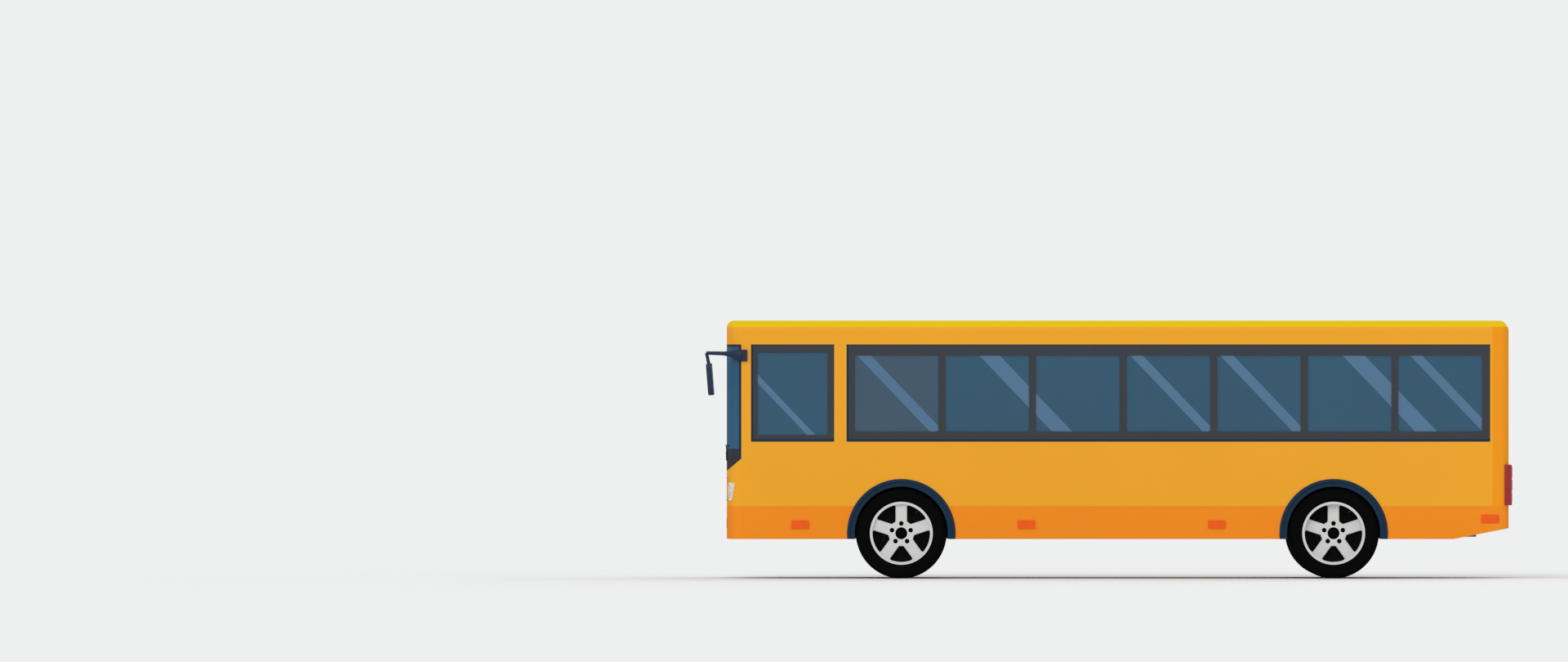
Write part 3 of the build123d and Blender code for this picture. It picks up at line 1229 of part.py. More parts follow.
front_pieces()
rear_pieces()
side_pieces()
side_trim()
floor_pieces()
roof_pieces()
wheel_pieces()
chassis_pieces()
door_pieces()
saloon_pieces()
underfloor_pieces()
outside_pieces()
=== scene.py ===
"""Looks of the city bus: finishes, tread, lamps, trim, cushions, parts under the floor, camera and light.

Lengths are in metres, apart from those that at() and spot() take.
"""
import json
from math import asin, cos, exp, hypot, pi, radians, sin, sqrt

import bmesh
import bpy
from mathutils import Matrix, Vector


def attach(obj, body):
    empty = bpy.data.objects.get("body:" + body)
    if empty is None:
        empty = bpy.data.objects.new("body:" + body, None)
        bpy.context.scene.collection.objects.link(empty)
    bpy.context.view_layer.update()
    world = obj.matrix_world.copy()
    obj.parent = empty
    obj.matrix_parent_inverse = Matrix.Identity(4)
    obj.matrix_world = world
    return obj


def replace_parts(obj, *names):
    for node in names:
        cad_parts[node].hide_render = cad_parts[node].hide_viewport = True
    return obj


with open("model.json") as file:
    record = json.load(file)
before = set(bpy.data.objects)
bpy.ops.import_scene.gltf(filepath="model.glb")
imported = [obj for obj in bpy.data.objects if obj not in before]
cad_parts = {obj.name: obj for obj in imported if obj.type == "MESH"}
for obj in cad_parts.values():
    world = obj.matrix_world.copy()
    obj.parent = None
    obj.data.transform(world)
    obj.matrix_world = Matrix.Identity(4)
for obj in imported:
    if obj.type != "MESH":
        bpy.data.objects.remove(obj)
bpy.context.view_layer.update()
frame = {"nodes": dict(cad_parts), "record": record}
NODES = frame["nodes"]

# Main sizes of the part, as its source has them
FRONT = -4.4415
REAR = 4.6585
HALF = 1.215
BODY_BOTTOM = 0.460
FRONT_BOW = 0.060
TYRE_RADIUS = 0.527
TYRE_Y = 1.045
TWIN_PITCH = 0.320
AXLES = {"front": FRONT + 2.033, "rear": FRONT + 7.063}
SIDES = {"left": -1, "right": 1}


def at(from_front):
    """The x of a place given in millimetres rearwards from the front face."""
    return FRONT + from_front / 1000


# Materials

DUST_COLOUR = "#6f6658"
DUST_HEIGHTS = (1.0, 0.25)
PATCH_EDGES = (0.3, 0.7)
RELIEF_DEPTH = 0.002
COAT_ROUGHNESS = 0.12


def linear(code):
    """Linear RGBA of an sRGB colour written as #rrggbb."""
    parts = [int(code[i:i + 2], 16) / 255 for i in (1, 3, 5)]
    return tuple(c / 12.92 if c <= 0.04045 else ((c + 0.055) / 1.055) ** 2.4 for c in parts) + (1.0,)


def shade(colour, factor):
    """A colour made lighter or darker."""
    return tuple(min(1.0, c * factor) for c in colour[:3]) + (1.0,)


def set_inputs(node, values):
    for name, value in values.items():
        node.inputs[name].default_value = value
    return node


def new_node(tree, kind, values=()):
    """Adds a shader node to a tree and sets some of its inputs."""
    return set_inputs(tree.nodes.new("ShaderNode" + kind), dict(values))


def finish(name, code, rough=0.5, metal=0.0, vary=0.04, size=2.5, rough_vary=0.06, grain=None, coat=0.0,
           specular=0.3, alpha=1.0, dust=0.0):
    """A surface whose colour, roughness and relief vary with the place on it.

    size is how many colour patches come to a metre, grain is the relief's (strength, scale, pattern)
    with noise as the usual pattern, and dust is the share of dust colour at the ground.
    """
    mat = bpy.data.materials.new(name)
    mat.use_nodes = True
    tree = mat.node_tree
    link = tree.links.new
    shader = tree.nodes["Principled BSDF"]
    place = new_node(tree, "TexCoord").outputs["Object"]
    colour = linear(code)

    patches = new_node(tree, "TexNoise", {"Scale": size, "Detail": 5})
    link(place, patches.inputs["Vector"])
    ramp = new_node(tree, "ValToRGB")
    for end, position, factor in zip(ramp.color_ramp.elements, PATCH_EDGES, (1 - vary, 1 + vary)):
        end.position = position
        end.color = shade(colour, factor)
    link(patches.outputs["Fac"], ramp.inputs["Fac"])
    tint = ramp.outputs["Color"]
    if dust:
        split = new_node(tree, "SeparateXYZ")
        link(place, split.inputs["Vector"])
        top, foot = DUST_HEIGHTS
        low = new_node(tree, "MapRange", {"From Min": top, "From Max": foot, "To Max": dust})
        link(split.outputs["Z"], low.inputs["Value"])
        mix = new_node(tree, "Mix")
        mix.data_type = "RGBA"
        link(low.outputs["Result"], mix.inputs["Factor"])
        link(tint, mix.inputs["A"])
        mix.inputs["B"].default_value = linear(DUST_COLOUR)
        tint = mix.outputs["Result"]
    link(tint, shader.inputs["Base Color"])

    worn = new_node(tree, "TexNoise", {"Scale": size * 6, "Detail": 3})
    link(place, worn.inputs["Vector"])
    span = new_node(tree, "MapRange", {"To Min": max(0.02, rough - rough_vary),
                                       "To Max": min(1.0, rough + rough_vary)})
    link(worn.outputs["Fac"], span.inputs["Value"])
    link(span.outputs["Result"], shader.inputs["Roughness"])

    if grain:
        strength, scale, pattern = (*grain, "Noise")[:3]
        relief = new_node(tree, "Tex" + pattern, {"Scale": scale})
        link(place, relief.inputs["Vector"])
        bump = new_node(tree, "Bump", {"Strength": strength, "Distance": RELIEF_DEPTH})
        link(relief.outputs["Distance" if pattern == "Voronoi" else "Fac"], bump.inputs["Height"])
        link(bump.outputs["Normal"], shader.inputs["Normal"])
    set_inputs(shader, {"Metallic": metal, "Specular IOR Level": specular, "Coat Weight": coat,
                        "Coat Roughness": COAT_ROUGHNESS, "Alpha": alpha})
    return mat


PAINT = dict(rough=0.42, vary=0.015, size=0.9, grain=(0.05, 700), coat=0.02, specular=0.0)
PANE = dict(rough=0.06, vary=0.03, size=0.7, rough_vary=0.02, alpha=0.92)
FINISHES = {
    "paint_amber": ("#eba430", PAINT),
    "paint_orange": ("#ee8c26", PAINT),
    "paint_yellow": ("#e9c515", PAINT),
    "mask_black": ("#37373e", dict(rough=0.30, vary=0.03, grain=(0.02, 500), coat=0.02, specular=0.0)),
    "frame_dark": ("#373a3f", dict(rough=0.45, vary=0.05, grain=(0.08, 900), specular=0.15)),
    "window_glass": ("#2e566f", PANE),
    "screen_glass": ("#3a617f", dict(
        rough=0.08, vary=0.03, size=0.7, rough_vary=0.02, coat=0.03, specular=0.0, alpha=0.90)),
    "lamp_clear": ("#d2d0c8", dict(rough=0.14, vary=0.03, size=12, grain=(0.25, 120, "Wave"), coat=0.2)),
    "lamp_red": ("#981c28", dict(rough=0.18, vary=0.06, size=14, grain=(0.25, 110, "Wave"), coat=0.15)),
    "lamp_orange": ("#ee5a04", dict(
        rough=0.24, vary=0.05, size=14, grain=(0.25, 140, "Wave"), coat=0.08, specular=0.2)),
    "trim_navy": ("#0a2a43", dict(vary=0.06, grain=(0.12, 600), specular=0.15)),
    "chassis_black": ("#23262a", dict(rough=0.55, vary=0.12, size=5, grain=(0.15, 300), dust=0.16)),
    "axle_black": ("#282a2c", dict(rough=0.6, vary=0.15, size=6, grain=(0.3, 180), dust=0.25)),
    "engine_grey": ("#6c7174", dict(metal=0.5, vary=0.12, size=6, grain=(0.35, 160))),
    "tank_grey": ("#7d8488", dict(rough=0.4, metal=0.6, vary=0.08, size=4, grain=(0.1, 240))),
    "wheel_silver": ("#d0d0d0", dict(rough=0.42, metal=0.15, vary=0.03, size=9, grain=(0.12, 500))),
    "tyre_black": ("#050506", dict(rough=0.85, vary=0.12, size=8, grain=(0.25, 350), specular=0.05)),
    "floor_grey": ("#77797b", dict(rough=0.7, vary=0.08, size=40, grain=(0.35, 260, "Voronoi"))),
    "step_metal": ("#8b8d8f", dict(
        rough=0.45, metal=0.6, vary=0.06, size=12, grain=(0.6, 60, "Voronoi"))),
    "housing_dark": ("#0d2740", dict(rough=0.75, vary=0.08, grain=(0.2, 260), specular=0.15, dust=0.05)),
    "seat_blue": ("#2c5f9e", dict(size=6, grain=(0.15, 420))),
    "driver_seat_fabric": ("#33363d", dict(rough=0.88, vary=0.12, size=30, grain=(0.5, 520, "Wave"))),
    "dash_grey": ("#4a4d50", dict(rough=0.62, vary=0.05, size=7, grain=(0.3, 520, "Voronoi"))),
    "grip_black": ("#1c1d1f", dict(vary=0.08, size=20, grain=(0.3, 600, "Voronoi"))),
    "pole_yellow": ("#e8c02a", dict(rough=0.32, vary=0.03, size=5, grain=(0.05, 300), coat=0.3)),
    "door_frame": ("#d9952f", dict(rough=0.42, vary=0.02, grain=(0.05, 700), coat=0.12)),
    "mirror_dark": ("#11233f", dict(rough=0.38, vary=0.05, size=8, grain=(0.12, 520))),
    "rubber_black": ("#202224", dict(rough=0.75, vary=0.08, size=20, grain=(0.2, 500))),
}
MATERIALS = {name: finish(name, code, **look) for name, (code, look) in FINISHES.items()}
# A deeper orange copy of the body paint for the rear panel, as painted shade of its rounded rear corner
REAR_SHADE_PAINT = finish("paint_rear_corner_shade", "#ec9521", **PAINT)
GREY_PANE = finish("first_pane_glass", "#3e566b", **PANE)
# A lighter blue glass for the painted reflections on the side panes
PAINTED_REFLECTION = finish("painted_reflection_glass", "#4d7090", rough=0.1, vary=0.03, size=1.2, rough_vary=0.03)
# Near-black painted shade for the rim behind the spokes and for the dust shield
WHEEL_SHADE = finish("wheel_shadow_black", "#060607", rough=0.7, vary=0.12, size=10, grain=(0.3, 260),
                    specular=0.05)
# Blacker painted shade for the hub's recess and lug holes, and for the hub cap and lug nuts set in them
HUB_SHADE = finish("hub_painted_shade", "#040405", rough=0.6, vary=0.1, size=20, grain=(0.1, 500), specular=0.03)
CHROME = finish("mirror_face", "#b9c4cc", rough=0.03, metal=1.0, vary=0.01, rough_vary=0.01)
PLATE = finish("blank_plate", "#e9e9e4", rough=0.4, vary=0.02, size=8, grain=(0.05, 300))
DISPLAY = finish("display_face", "#0d0e10", rough=0.2, vary=0.05, size=30, grain=(0.6, 100, "Voronoi"))
BOLT = finish("bolt_steel", "#8d9093", rough=0.35, metal=0.8, vary=0.08, size=60, grain=(0.1, 900))
NOSING = finish("step_nosing", "#e6c02b", rough=0.65, vary=0.05, size=30, grain=(0.5, 200))
LIGHT_TILE = finish("cabin_lamp", "#f1f1ec", rough=0.3, vary=0.01, size=4, grain=(0.05, 200))
EXHAUST = finish("exhaust_steel", "#6f6a64", metal=0.7, vary=0.15, size=7, grain=(0.15, 260))

slot_of = {part["node"]: part["material_slot"] for part in frame["record"]["subparts"]}
for node_name, node in NODES.items():
    node.data.materials.clear()
    node.data.materials.append(MATERIALS[slot_of[node_name]])
# The rear panel takes the deeper orange of painted shade
NODES["rear_panel"].data.materials[0] = REAR_SHADE_PAINT
NODES["destination_display"].data.materials[0] = DISPLAY

FIRST_PANE = (at(1440), at(2500))
MASK_REAR, MASK_SILL = at(140), 1.42


def tint_part(name, material, chosen):
    """Gives a second finish to the polygons of a node whose centres are chosen."""
    mesh = NODES[name].data
    mesh.materials.append(material)
    for polygon in mesh.polygons:
        if chosen(polygon.center):
            polygon.material_index = len(mesh.materials) - 1


tint_part("window_glass", GREY_PANE, lambda c: c.y < 0 and FIRST_PANE[0] < c.x < FIRST_PANE[1])
tint_part("windscreen_surround", MATERIALS["trim_navy"], lambda c: c.x > MASK_REAR and c.z > MASK_SILL)


# Mesh helpers

BEVEL_FROM = 35


def new_object(name, data):
    """Adds an object to the scene."""
    obj = bpy.data.objects.new(name, data)
    bpy.context.scene.collection.objects.link(obj)
    return obj


def piece(name, verts, faces, body, material):
    """A mesh object that rides on a body and stands in a material slot."""
    mesh = bpy.data.meshes.new(name)
    mesh.from_pydata([tuple(v) for v in verts], [], faces)
    mesh.validate()
    mesh.update()
    mesh.shade_smooth()
    mesh.materials.append(material)
    obj = new_object(name, mesh)
    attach(obj, body)
    return obj


def circle(count, radius=1.0, start=0):
    """Points (x, y) spaced evenly round the origin, anticlockwise from an angle in degrees."""
    turns = [radians(start + 360 * k / count) for k in range(count)]
    return [(radius * cos(a), radius * sin(a)) for a in turns]


def rounded(x0, x1, y0, y1, radius, steps=5):
    """A rectangle with rounded corners, as points that run anticlockwise."""
    points = []
    for cx, cy, start in ((x1 - radius, y1 - radius, 0), (x0 + radius, y1 - radius, 90),
                          (x0 + radius, y0 + radius, 180), (x1 - radius, y0 + radius, 270)):
        points += [(cx + x, cy + y) for x, y in circle(4 * steps, radius, start)[:steps + 1]]
    return points


def centred(half_x, half_y, radius, steps=5):
    """A rounded rectangle about the origin."""
    return rounded(-half_x, half_x, -half_y, half_y, radius, steps)


def shift(x, y, z):
    return Matrix.Translation((x, y, z))


def turned(degrees, axis):
    return Matrix.Rotation(radians(degrees), 4, axis)


def facing(x_axis, y_axis, origin):
    """Place whose x and y run along two directions, and whose z is square to them."""
    x, y = Vector(x_axis).normalized(), Vector(y_axis).normalized()
    z = x.cross(y)
    place = Matrix((x, y, z)).transposed().to_4x4()
    place.translation = Vector(origin)
    return place


def out_from(side, x, y, z):
    """Place on one side of the bus: x along the bus, y up, z outwards."""
    way = SIDES[side]
    return facing((-way, 0, 0), (0, 0, 1), (x, way * y, z))


def rearwards(x, y, z):
    """Place that faces the rear: x across to the right, y up, z rearwards."""
    return facing((0, 1, 0), (0, 0, 1), (x, y, z))


class Shape:
    """Gathers vertices and faces of several closed forms into one mesh."""

    def __init__(self):
        self.verts, self.faces = [], []

    def add(self, verts, faces):
        base = len(self.verts)
        self.verts += [Vector(v) for v in verts]
        self.faces += [tuple(base + i for i in face) for face in faces]

    def loft(self, rings, ends="flat"):
        """Closed rings of points, each joined to the next, with flat, open or joined ends."""
        n, count = len(rings[0]), len(rings)
        faces = []
        if ends == "flat":
            faces += [tuple(range(n - 1, -1, -1)), tuple(range(n * (count - 1), n * count))]
        for i in range(count if ends == "joined" else count - 1):
            b, t = i * n, (i + 1) % count * n
            for k in range(n):
                j = (k + 1) % n
                faces.append((b + k, b + j, t + j, t + k))
        self.add([point for ring in rings for point in ring], faces)

    def prism(self, outline, depth, place):
        """Runs a flat outline (x, y) along z from 0 to depth, then puts it in place."""
        self.loft([[place @ Vector((x, y, z)) for x, y in outline] for z in (0, depth)])

    def sheet(self, side, outline, y, depth):
        """Runs an outline (x, z) outwards on one side of the bus, from a distance y off its middle."""
        self.prism([(-SIDES[side] * x, z) for x, z in outline], depth, out_from(side, 0, y, 0))

    def tube(self, path, radius, segments=10):
        """A round bar along a path of points, with flat ends."""
        rings = []
        for i, point in enumerate(path):
            ahead = path[min(i + 1, len(path) - 1)] - path[max(i - 1, 0)]
            turn = ahead.to_track_quat("Z", "Y")
            rings.append([point + turn @ Vector((x, y, 0)) for x, y in circle(segments, radius)])
        self.loft(rings)

    def lathe(self, section, place, segments=32):
        """Turns a section of (radius, height) points about z. A radius of 0 closes an end."""
        rings, verts, faces = [], [], []
        for radius, height in section:
            if radius < 1e-6:
                rings.append([len(verts)] * segments)
                verts.append(Vector((0, 0, height)))
                continue
            rings.append(list(range(len(verts), len(verts) + segments)))
            verts += [Vector((x, y, height)) for x, y in circle(segments, radius)]
        for low, high in zip(rings, rings[1:]):
            for k in range(segments):
                j = (k + 1) % segments
                corners = list(dict.fromkeys((low[k], low[j], high[j], high[k])))
                if len(corners) > 2:
                    faces.append(tuple(corners))
        self.add([place @ v for v in verts], faces)

    def can(self, start, end, radius, bands=()):
        """A cylinder with domed ends, a raised seam near each and straps at shares of its length."""
        long = (end - start).length
        place = (end - start).to_track_quat("Z", "Y").to_matrix().to_4x4()
        place.translation = start
        seam = radius + 0.003
        half = [(0, 0), (0.55 * radius, 0.003), (0.9 * radius, 0.012), (radius, 0.026), (radius, 0.042),
                (seam, 0.044), (seam, 0.052), (radius, 0.054)]
        self.lathe(half + [(r, long - z) for r, z in reversed(half)], place, 40)
        sunk, face, half_width = radius - 0.002, radius + 0.004, 0.016
        for share in bands:
            low, high = share * long - half_width, share * long + half_width
            self.lathe([(sunk, low), (face, low), (face, high), (sunk, high), (sunk, low)], place, 40)

    def box(self, x0, x1, y0, y1, z0, z1, corner=0.004, steps=3):
        """A block with rounded upright edges."""
        self.prism(rounded(x0, x1, y0, y1, corner, steps), z1 - z0, shift(0, 0, z0))

    def make(self, name, slot, material=None, body="bus_body", crease=35, bevel=0.0, bevel_steps=2):
        """One piece of all the forms, smooth over edges flatter than the crease and bevelled if asked."""
        obj = piece(name, self.verts, self.faces, body, material or MATERIALS[slot])
        work = bmesh.new()
        work.from_mesh(obj.data)
        bmesh.ops.recalc_face_normals(work, faces=work.faces)
        work.to_mesh(obj.data)
        work.free()
        obj.data.set_sharp_from_angle(angle=radians(crease))
        if bevel:
            edges = obj.modifiers.new("edges", "BEVEL")
            edges.width = bevel
            edges.segments = bevel_steps
            edges.limit_method = "ANGLE"
            edges.angle_limit = radians(BEVEL_FROM)
        return obj


# Wheels: silver outside, with painted shade behind the spokes and blacker painted shade in the hub's
# recesses

# Distances outwards are from the tyre's middle, and depths are from the spokes' outer face
SPOKE_FACES = {"front": 0.092, "rear": 0.040}
SPOKE_DEPTH = 0.045
RIM_WALL = 0.345
RECESS_DEPTH = 0.002
HUB_RECESS = 0.068
LUG_HOLE = 0.0285
LUG_CIRCLE = 0.114
LUG_PLACES = circle(5, LUG_CIRCLE, 90)


def colour_wheel(name, axle):
    mesh = NODES[name].data
    mesh.materials.append(WHEEL_SHADE)
    mesh.materials.append(HUB_SHADE)
    face = SPOKE_FACES[axle]
    for polygon in mesh.polygons:
        x, z = polygon.center.x - AXLES[axle], polygon.center.z - TYRE_RADIUS
        radius, out = hypot(x, z), abs(polygon.center.y) - TYRE_Y
        in_lug = any(hypot(x - a, z - b) < LUG_HOLE for a, b in LUG_PLACES)
        # Polygons behind the spokes take painted shade, and those sunk in the hub and lug holes take
        # blacker painted shade
        if out < face - SPOKE_DEPTH and radius < RIM_WALL:
            polygon.material_index = 1
        elif out < face - RECESS_DEPTH and (radius < HUB_RECESS or in_lug):
            polygon.material_index = 2


# A tyre's side from bead to shoulder, as (radius, distance from its middle), and its tread
TYRE_SIDE = [(0.3562, 0.1155), (0.3680, 0.1165), (0.380, 0.1265), (0.392, 0.1325), (0.396, 0.1352),
             (0.402, 0.1352), (0.406, 0.1362), (0.430, 0.1392), (0.450, 0.1398), (0.470, 0.1385),
             (0.476, 0.1396), (0.482, 0.1384), (0.492, 0.1335), (0.503, 0.1285), (0.514, 0.1225),
             (0.522, 0.1150), (0.5265, 0.1050)]
GROOVES = (0.070, 0.024)
GROOVE_WALL = ((TYRE_RADIUS, 0.0055), (0.515, 0.0035), (0.515, -0.0035), (TYRE_RADIUS, -0.0055))
SHOULDER_RADIUS, SHOULDER_OUT = 0.505, 0.080
SLOT_DEPTH, SLOT_EVERY = 0.009, 4
TYRE_STEPS = 192


def add_tyre(shape, place):
    """A tyre with four grooves round it and slots across both shoulders."""
    half = TYRE_SIDE + [(r, groove + z) for groove in GROOVES for r, z in GROOVE_WALL]
    section = half + [(r, -z) for r, z in reversed(half)] + [half[0]]
    rings = []
    for radius, height in section:
        slotted = radius > SHOULDER_RADIUS and abs(height) > SHOULDER_OUT
        ring = []
        for k, (x, y) in enumerate(circle(TYRE_STEPS)):
            r = radius - (SLOT_DEPTH if slotted and k % SLOT_EVERY == 0 else 0)
            ring.append(place @ Vector((r * x, r * y, height)))
        rings.append(ring)
    shape.loft(rings, ends="open")


# Sections of (radius, height): the hub's are from the spokes' face, the nut's from the foot of its hole
HUB_CAP = [(0, -0.0015), (0.030, -0.003), (0.052, -0.007), (0.058, -0.012), (0.058, -0.0195), (0, -0.0195)]
HUB_COLLAR = [(0.057, -0.004), (0.057, 0.0015), (0.068, 0.0015), (0.0695, 0.0005), (0.0695, -0.003),
              (0.057, -0.004)]
LUG_FOOT = -0.0235
NUT_RADIUS, NUT_HEIGHT = 0.0155, 0.016
LUG_WASHER = [(0, 0), (0.0215, 0), (0.0215, 0.003), (0, 0.003)]
LUG_STUD = [(0, NUT_HEIGHT), (0.008, NUT_HEIGHT), (0.008, 0.021), (0, 0.021)]
VALVE_TURN = 0.63
VALVE_ENDS = ((0.300, -0.047), (0.322, -0.006))

# A pressed ring behind the spokes, from the brake drum to the rim, with a lip at each edge, dark as
# painted shade behind the spokes
SHIELD_DEPTH = 0.062
SHIELD = [(0.2355, 0), (0.2355, 0.008), (0.241, 0.008), (0.246, 0.003), (0.322, 0.003), (0.328, 0.007),
          (0.334, 0.007), (0.334, 0), (0.2355, 0)]


def dress_wheel(axle, side):
    body = f"{axle}_wheel_unit_{side}"
    out = TYRE_Y + SPOKE_FACES[axle]
    tyre = Shape()
    add_tyre(tyre, out_from(side, AXLES[axle], TYRE_Y, TYRE_RADIUS))
    wheel_node, tyre_node = f"front_wheel_{side}", f"front_tyre_{side}"
    if axle == "rear":
        add_tyre(tyre, out_from(side, AXLES[axle], TYRE_Y - TWIN_PITCH, TYRE_RADIUS))
        wheel_node, tyre_node = f"rear_wheels_{side}", f"rear_tyres_{side}"
    colour_wheel(wheel_node, axle)
    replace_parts(tyre.make(f"{axle}_tread_{side}", "tyre_black", body=body), tyre_node)

    hub = out_from(side, AXLES[axle], out, TYRE_RADIUS)
    # Hub cap and lug nuts, black as painted shade in the hub's recess and lug holes
    cap = Shape()
    cap.lathe(HUB_CAP, hub, 40)
    cap.lathe(HUB_COLLAR, hub, 48)
    cap.make(f"{axle}_hub_cap_{side}", "wheel_silver", HUB_SHADE, body)
    nuts = Shape()
    for x, z in LUG_PLACES:
        place = hub @ shift(x, z, LUG_FOOT)
        nuts.lathe(LUG_WASHER, place, 20)
        nuts.prism(circle(6, NUT_RADIUS), NUT_HEIGHT, place)
        nuts.lathe(LUG_STUD, place, 14)
    nuts.make(f"{axle}_lug_nuts_{side}", "wheel_silver", HUB_SHADE, body, bevel=0.001)
    valve = Shape()
    across, up = sin(VALVE_TURN), cos(VALVE_TURN)
    foot, tip = (hub @ Vector((radius * across, radius * up, z)) for radius, z in VALVE_ENDS)
    valve.tube([foot, foot.lerp(tip, 0.6), tip], 0.004, 8)
    valve.make(f"{axle}_valve_{side}", "wheel_silver", BOLT, body)
    shield = Shape()
    shield.lathe(SHIELD, out_from(side, AXLES[axle], out - SHIELD_DEPTH, TYRE_RADIUS), 64)
    shield.make(f"{axle}_dust_shield_{side}", "wheel_silver", WHEEL_SHADE, body)


for axle_name in AXLES:
    for side_name in SIDES:
        dress_wheel(axle_name, side_name)


# Splash guards: ribbed sheets below each wheel housing's inner wall, ahead of the wheel and behind it

GUARD_Y = 0.545
GUARD_REACH = (0.375, 0.636)
GUARD_HEIGHT = (0.462, 0.760)
GUARD_SHEET = 0.004
GUARD_RIBS = 4
RIB_HALF, RIB_RISE = 0.006, 0.004


def splash_guards():
    guards = Shape()
    low, top = GUARD_HEIGHT
    for axle_x in AXLES.values():
        for side in SIDES:
            for end in (-1, 1):
                x0, x1 = sorted(axle_x + end * reach for reach in GUARD_REACH)
                guards.sheet(side, rounded(x0, x1, low, top, 0.03), GUARD_Y, GUARD_SHEET)
                for k in range(GUARD_RIBS):
                    x = x0 + (x1 - x0) * (k + 0.5) / GUARD_RIBS
                    rib = rounded(x - RIB_HALF, x + RIB_HALF, low + 0.03, top - 0.05, 0.005, 3)
                    guards.sheet(side, rib, GUARD_Y, GUARD_SHEET + RIB_RISE)
    guards.make("splash_guards", "housing_dark", bevel=0.0012)


splash_guards()


# Arch bands: a navy rubber band inside each arch trim, clear of the steered tyre

BAND_RADII = (0.542, 0.597)
BAND_FACES = (1.196, 1.204)
BAND_EDGE = 0.004
BAND_STEPS = 96


def arch_bands():
    bands = Shape()
    inner, outer = BAND_RADII
    hidden, face = BAND_FACES
    section = [(outer, hidden), (inner, hidden), (inner, face - BAND_EDGE), (inner + BAND_EDGE, face),
               (outer, face)]
    for axle_x in AXLES.values():
        for way in SIDES.values():
            rings = []
            for k in range(BAND_STEPS + 1):
                ring = []
                for radius, y in section:
                    drop = asin((TYRE_RADIUS - BODY_BOTTOM) / radius)
                    angle = -drop + (pi + 2 * drop) * k / BAND_STEPS
                    ring.append((axle_x + radius * cos(angle), way * y,
                                 TYRE_RADIUS + radius * sin(angle)))
                rings.append(ring)
            bands.loft(rings)
    bands.make("arch_bands", "trim_navy")


arch_bands()


# Window edges: a navy rubber edge laid only along the front and the bottom of each window band, as a
# painted shade line

FRAME_FACE = HALF - 0.002
WINDOW_HEIGHTS = (1.591, 2.723)
WINDOW_BANDS = {"left": [(284, 1252), (1395, 8884)], "right": [(1395, 3618), (4932, 8884)]}
EDGE_UPRIGHT, EDGE_FOOT, EDGE_RISE = 0.024, 0.030, 0.0012


def window_shade_edges():
    edges = Shape()
    low, top = WINDOW_HEIGHTS
    foot = low + EDGE_FOOT
    for side, bands in WINDOW_BANDS.items():
        for start, end in bands:
            x0, x1, x2 = at(start), at(start) + EDGE_UPRIGHT, at(end)
            outline = [(x0, low), (x2, low), (x2, foot), (x1, foot), (x1, top), (x0, top)]
            edges.sheet(side, outline, FRAME_FACE, EDGE_RISE)
    edges.make("window_shade_edges", "trim_navy")


window_shade_edges()


# Glass: painted reflections, lighter slanting bands on the side panes

# In metres from the front: painted reflections are (start at the pane's top, width), panes (start, end,
# foot, top)
PAINTED_REFLECTIONS = ((1.519, 0.162), (2.940, 0.237), (4.696, 0.145), (5.741, 0.155), (7.166, 0.258), (7.950, 0.142))
CAB_PAINTED_REFLECTION = (0.022, 0.096)
REFLECTION_SLOPE = 0.955
REFLECTION_Y, REFLECTION_RISE = HALF - 0.0121, 0.0008
PANE_PITCH = 1.054
PANE_HEIGHTS = (1.710, 2.594)
PANES = [(1.490 + PANE_PITCH * k, 2.465 + PANE_PITCH * k, *PANE_HEIGHTS) for k in range(7)]
RIGHT_PANES = PANES[:2] + [(5.031, 5.627, *PANE_HEIGHTS)] + PANES[4:]
CAB_PANE = (0.360, 1.176, 1.670, 2.628)


def cut_at(outline, limit, keep_above):
    """The part of an (x, z) outline on one side of an upright line."""
    kept = []
    for (x0, z0), (x1, z1) in zip(outline, outline[1:] + outline[:1]):
        in0, in1 = (x0 > limit) == keep_above, (x1 > limit) == keep_above
        if in0:
            kept.append((x0, z0))
        if in0 != in1:
            share = (limit - x0) / (x1 - x0)
            kept.append((limit, z0 + share * (z1 - z0)))
    return kept


def painted_reflection_in(pane, start, width):
    """The part of a painted reflection that crosses a pane."""
    x0, x1, low, high = pane
    foot = start + REFLECTION_SLOPE * (high - low)
    outline = [(start, high), (start + width, high), (foot + width, low), (foot, low)]
    return cut_at(cut_at(outline, x0, True), x1, False)


def paint_glass_reflections(side, outlines):
    # Lighter sheets laid on the panes as painted reflections
    reflection_sheets = Shape()
    for outline in outlines:
        if len(outline) > 2:
            reflection_sheets.sheet(side, [(FRONT + x, z) for x, z in outline], REFLECTION_Y, REFLECTION_RISE)
    reflection_sheets.make(f"painted_glass_reflections_{side}", "window_glass", PAINTED_REFLECTION)


paint_glass_reflections("left", [painted_reflection_in(pane, *reflection) for pane in PANES for reflection in PAINTED_REFLECTIONS]
            + [painted_reflection_in(CAB_PANE, *CAB_PAINTED_REFLECTION)])
paint_glass_reflections("right", [painted_reflection_in(pane, *reflection) for pane in RIGHT_PANES for reflection in PAINTED_REFLECTIONS])


# The bowed front

def nose_x(y):
    """The x of the bowed front at this distance from the middle."""
    return FRONT + FRONT_BOW * (y / HALF) ** 2


def nose_place(y, z):
    """Place on the bowed front: x across, y up, z forwards."""
    slope = 2 * FRONT_BOW * y / HALF ** 2
    return facing((-slope, -1, 0), (0, 0, 1), (nose_x(y), y, z))


def off_nose(gap, y, z):
    """A point that lies a gap ahead of the bowed front."""
    return Vector((nose_x(y) - gap, y, z))


# Lamps: head lenses and blinkers in bezels at the front, three segments a side at the rear

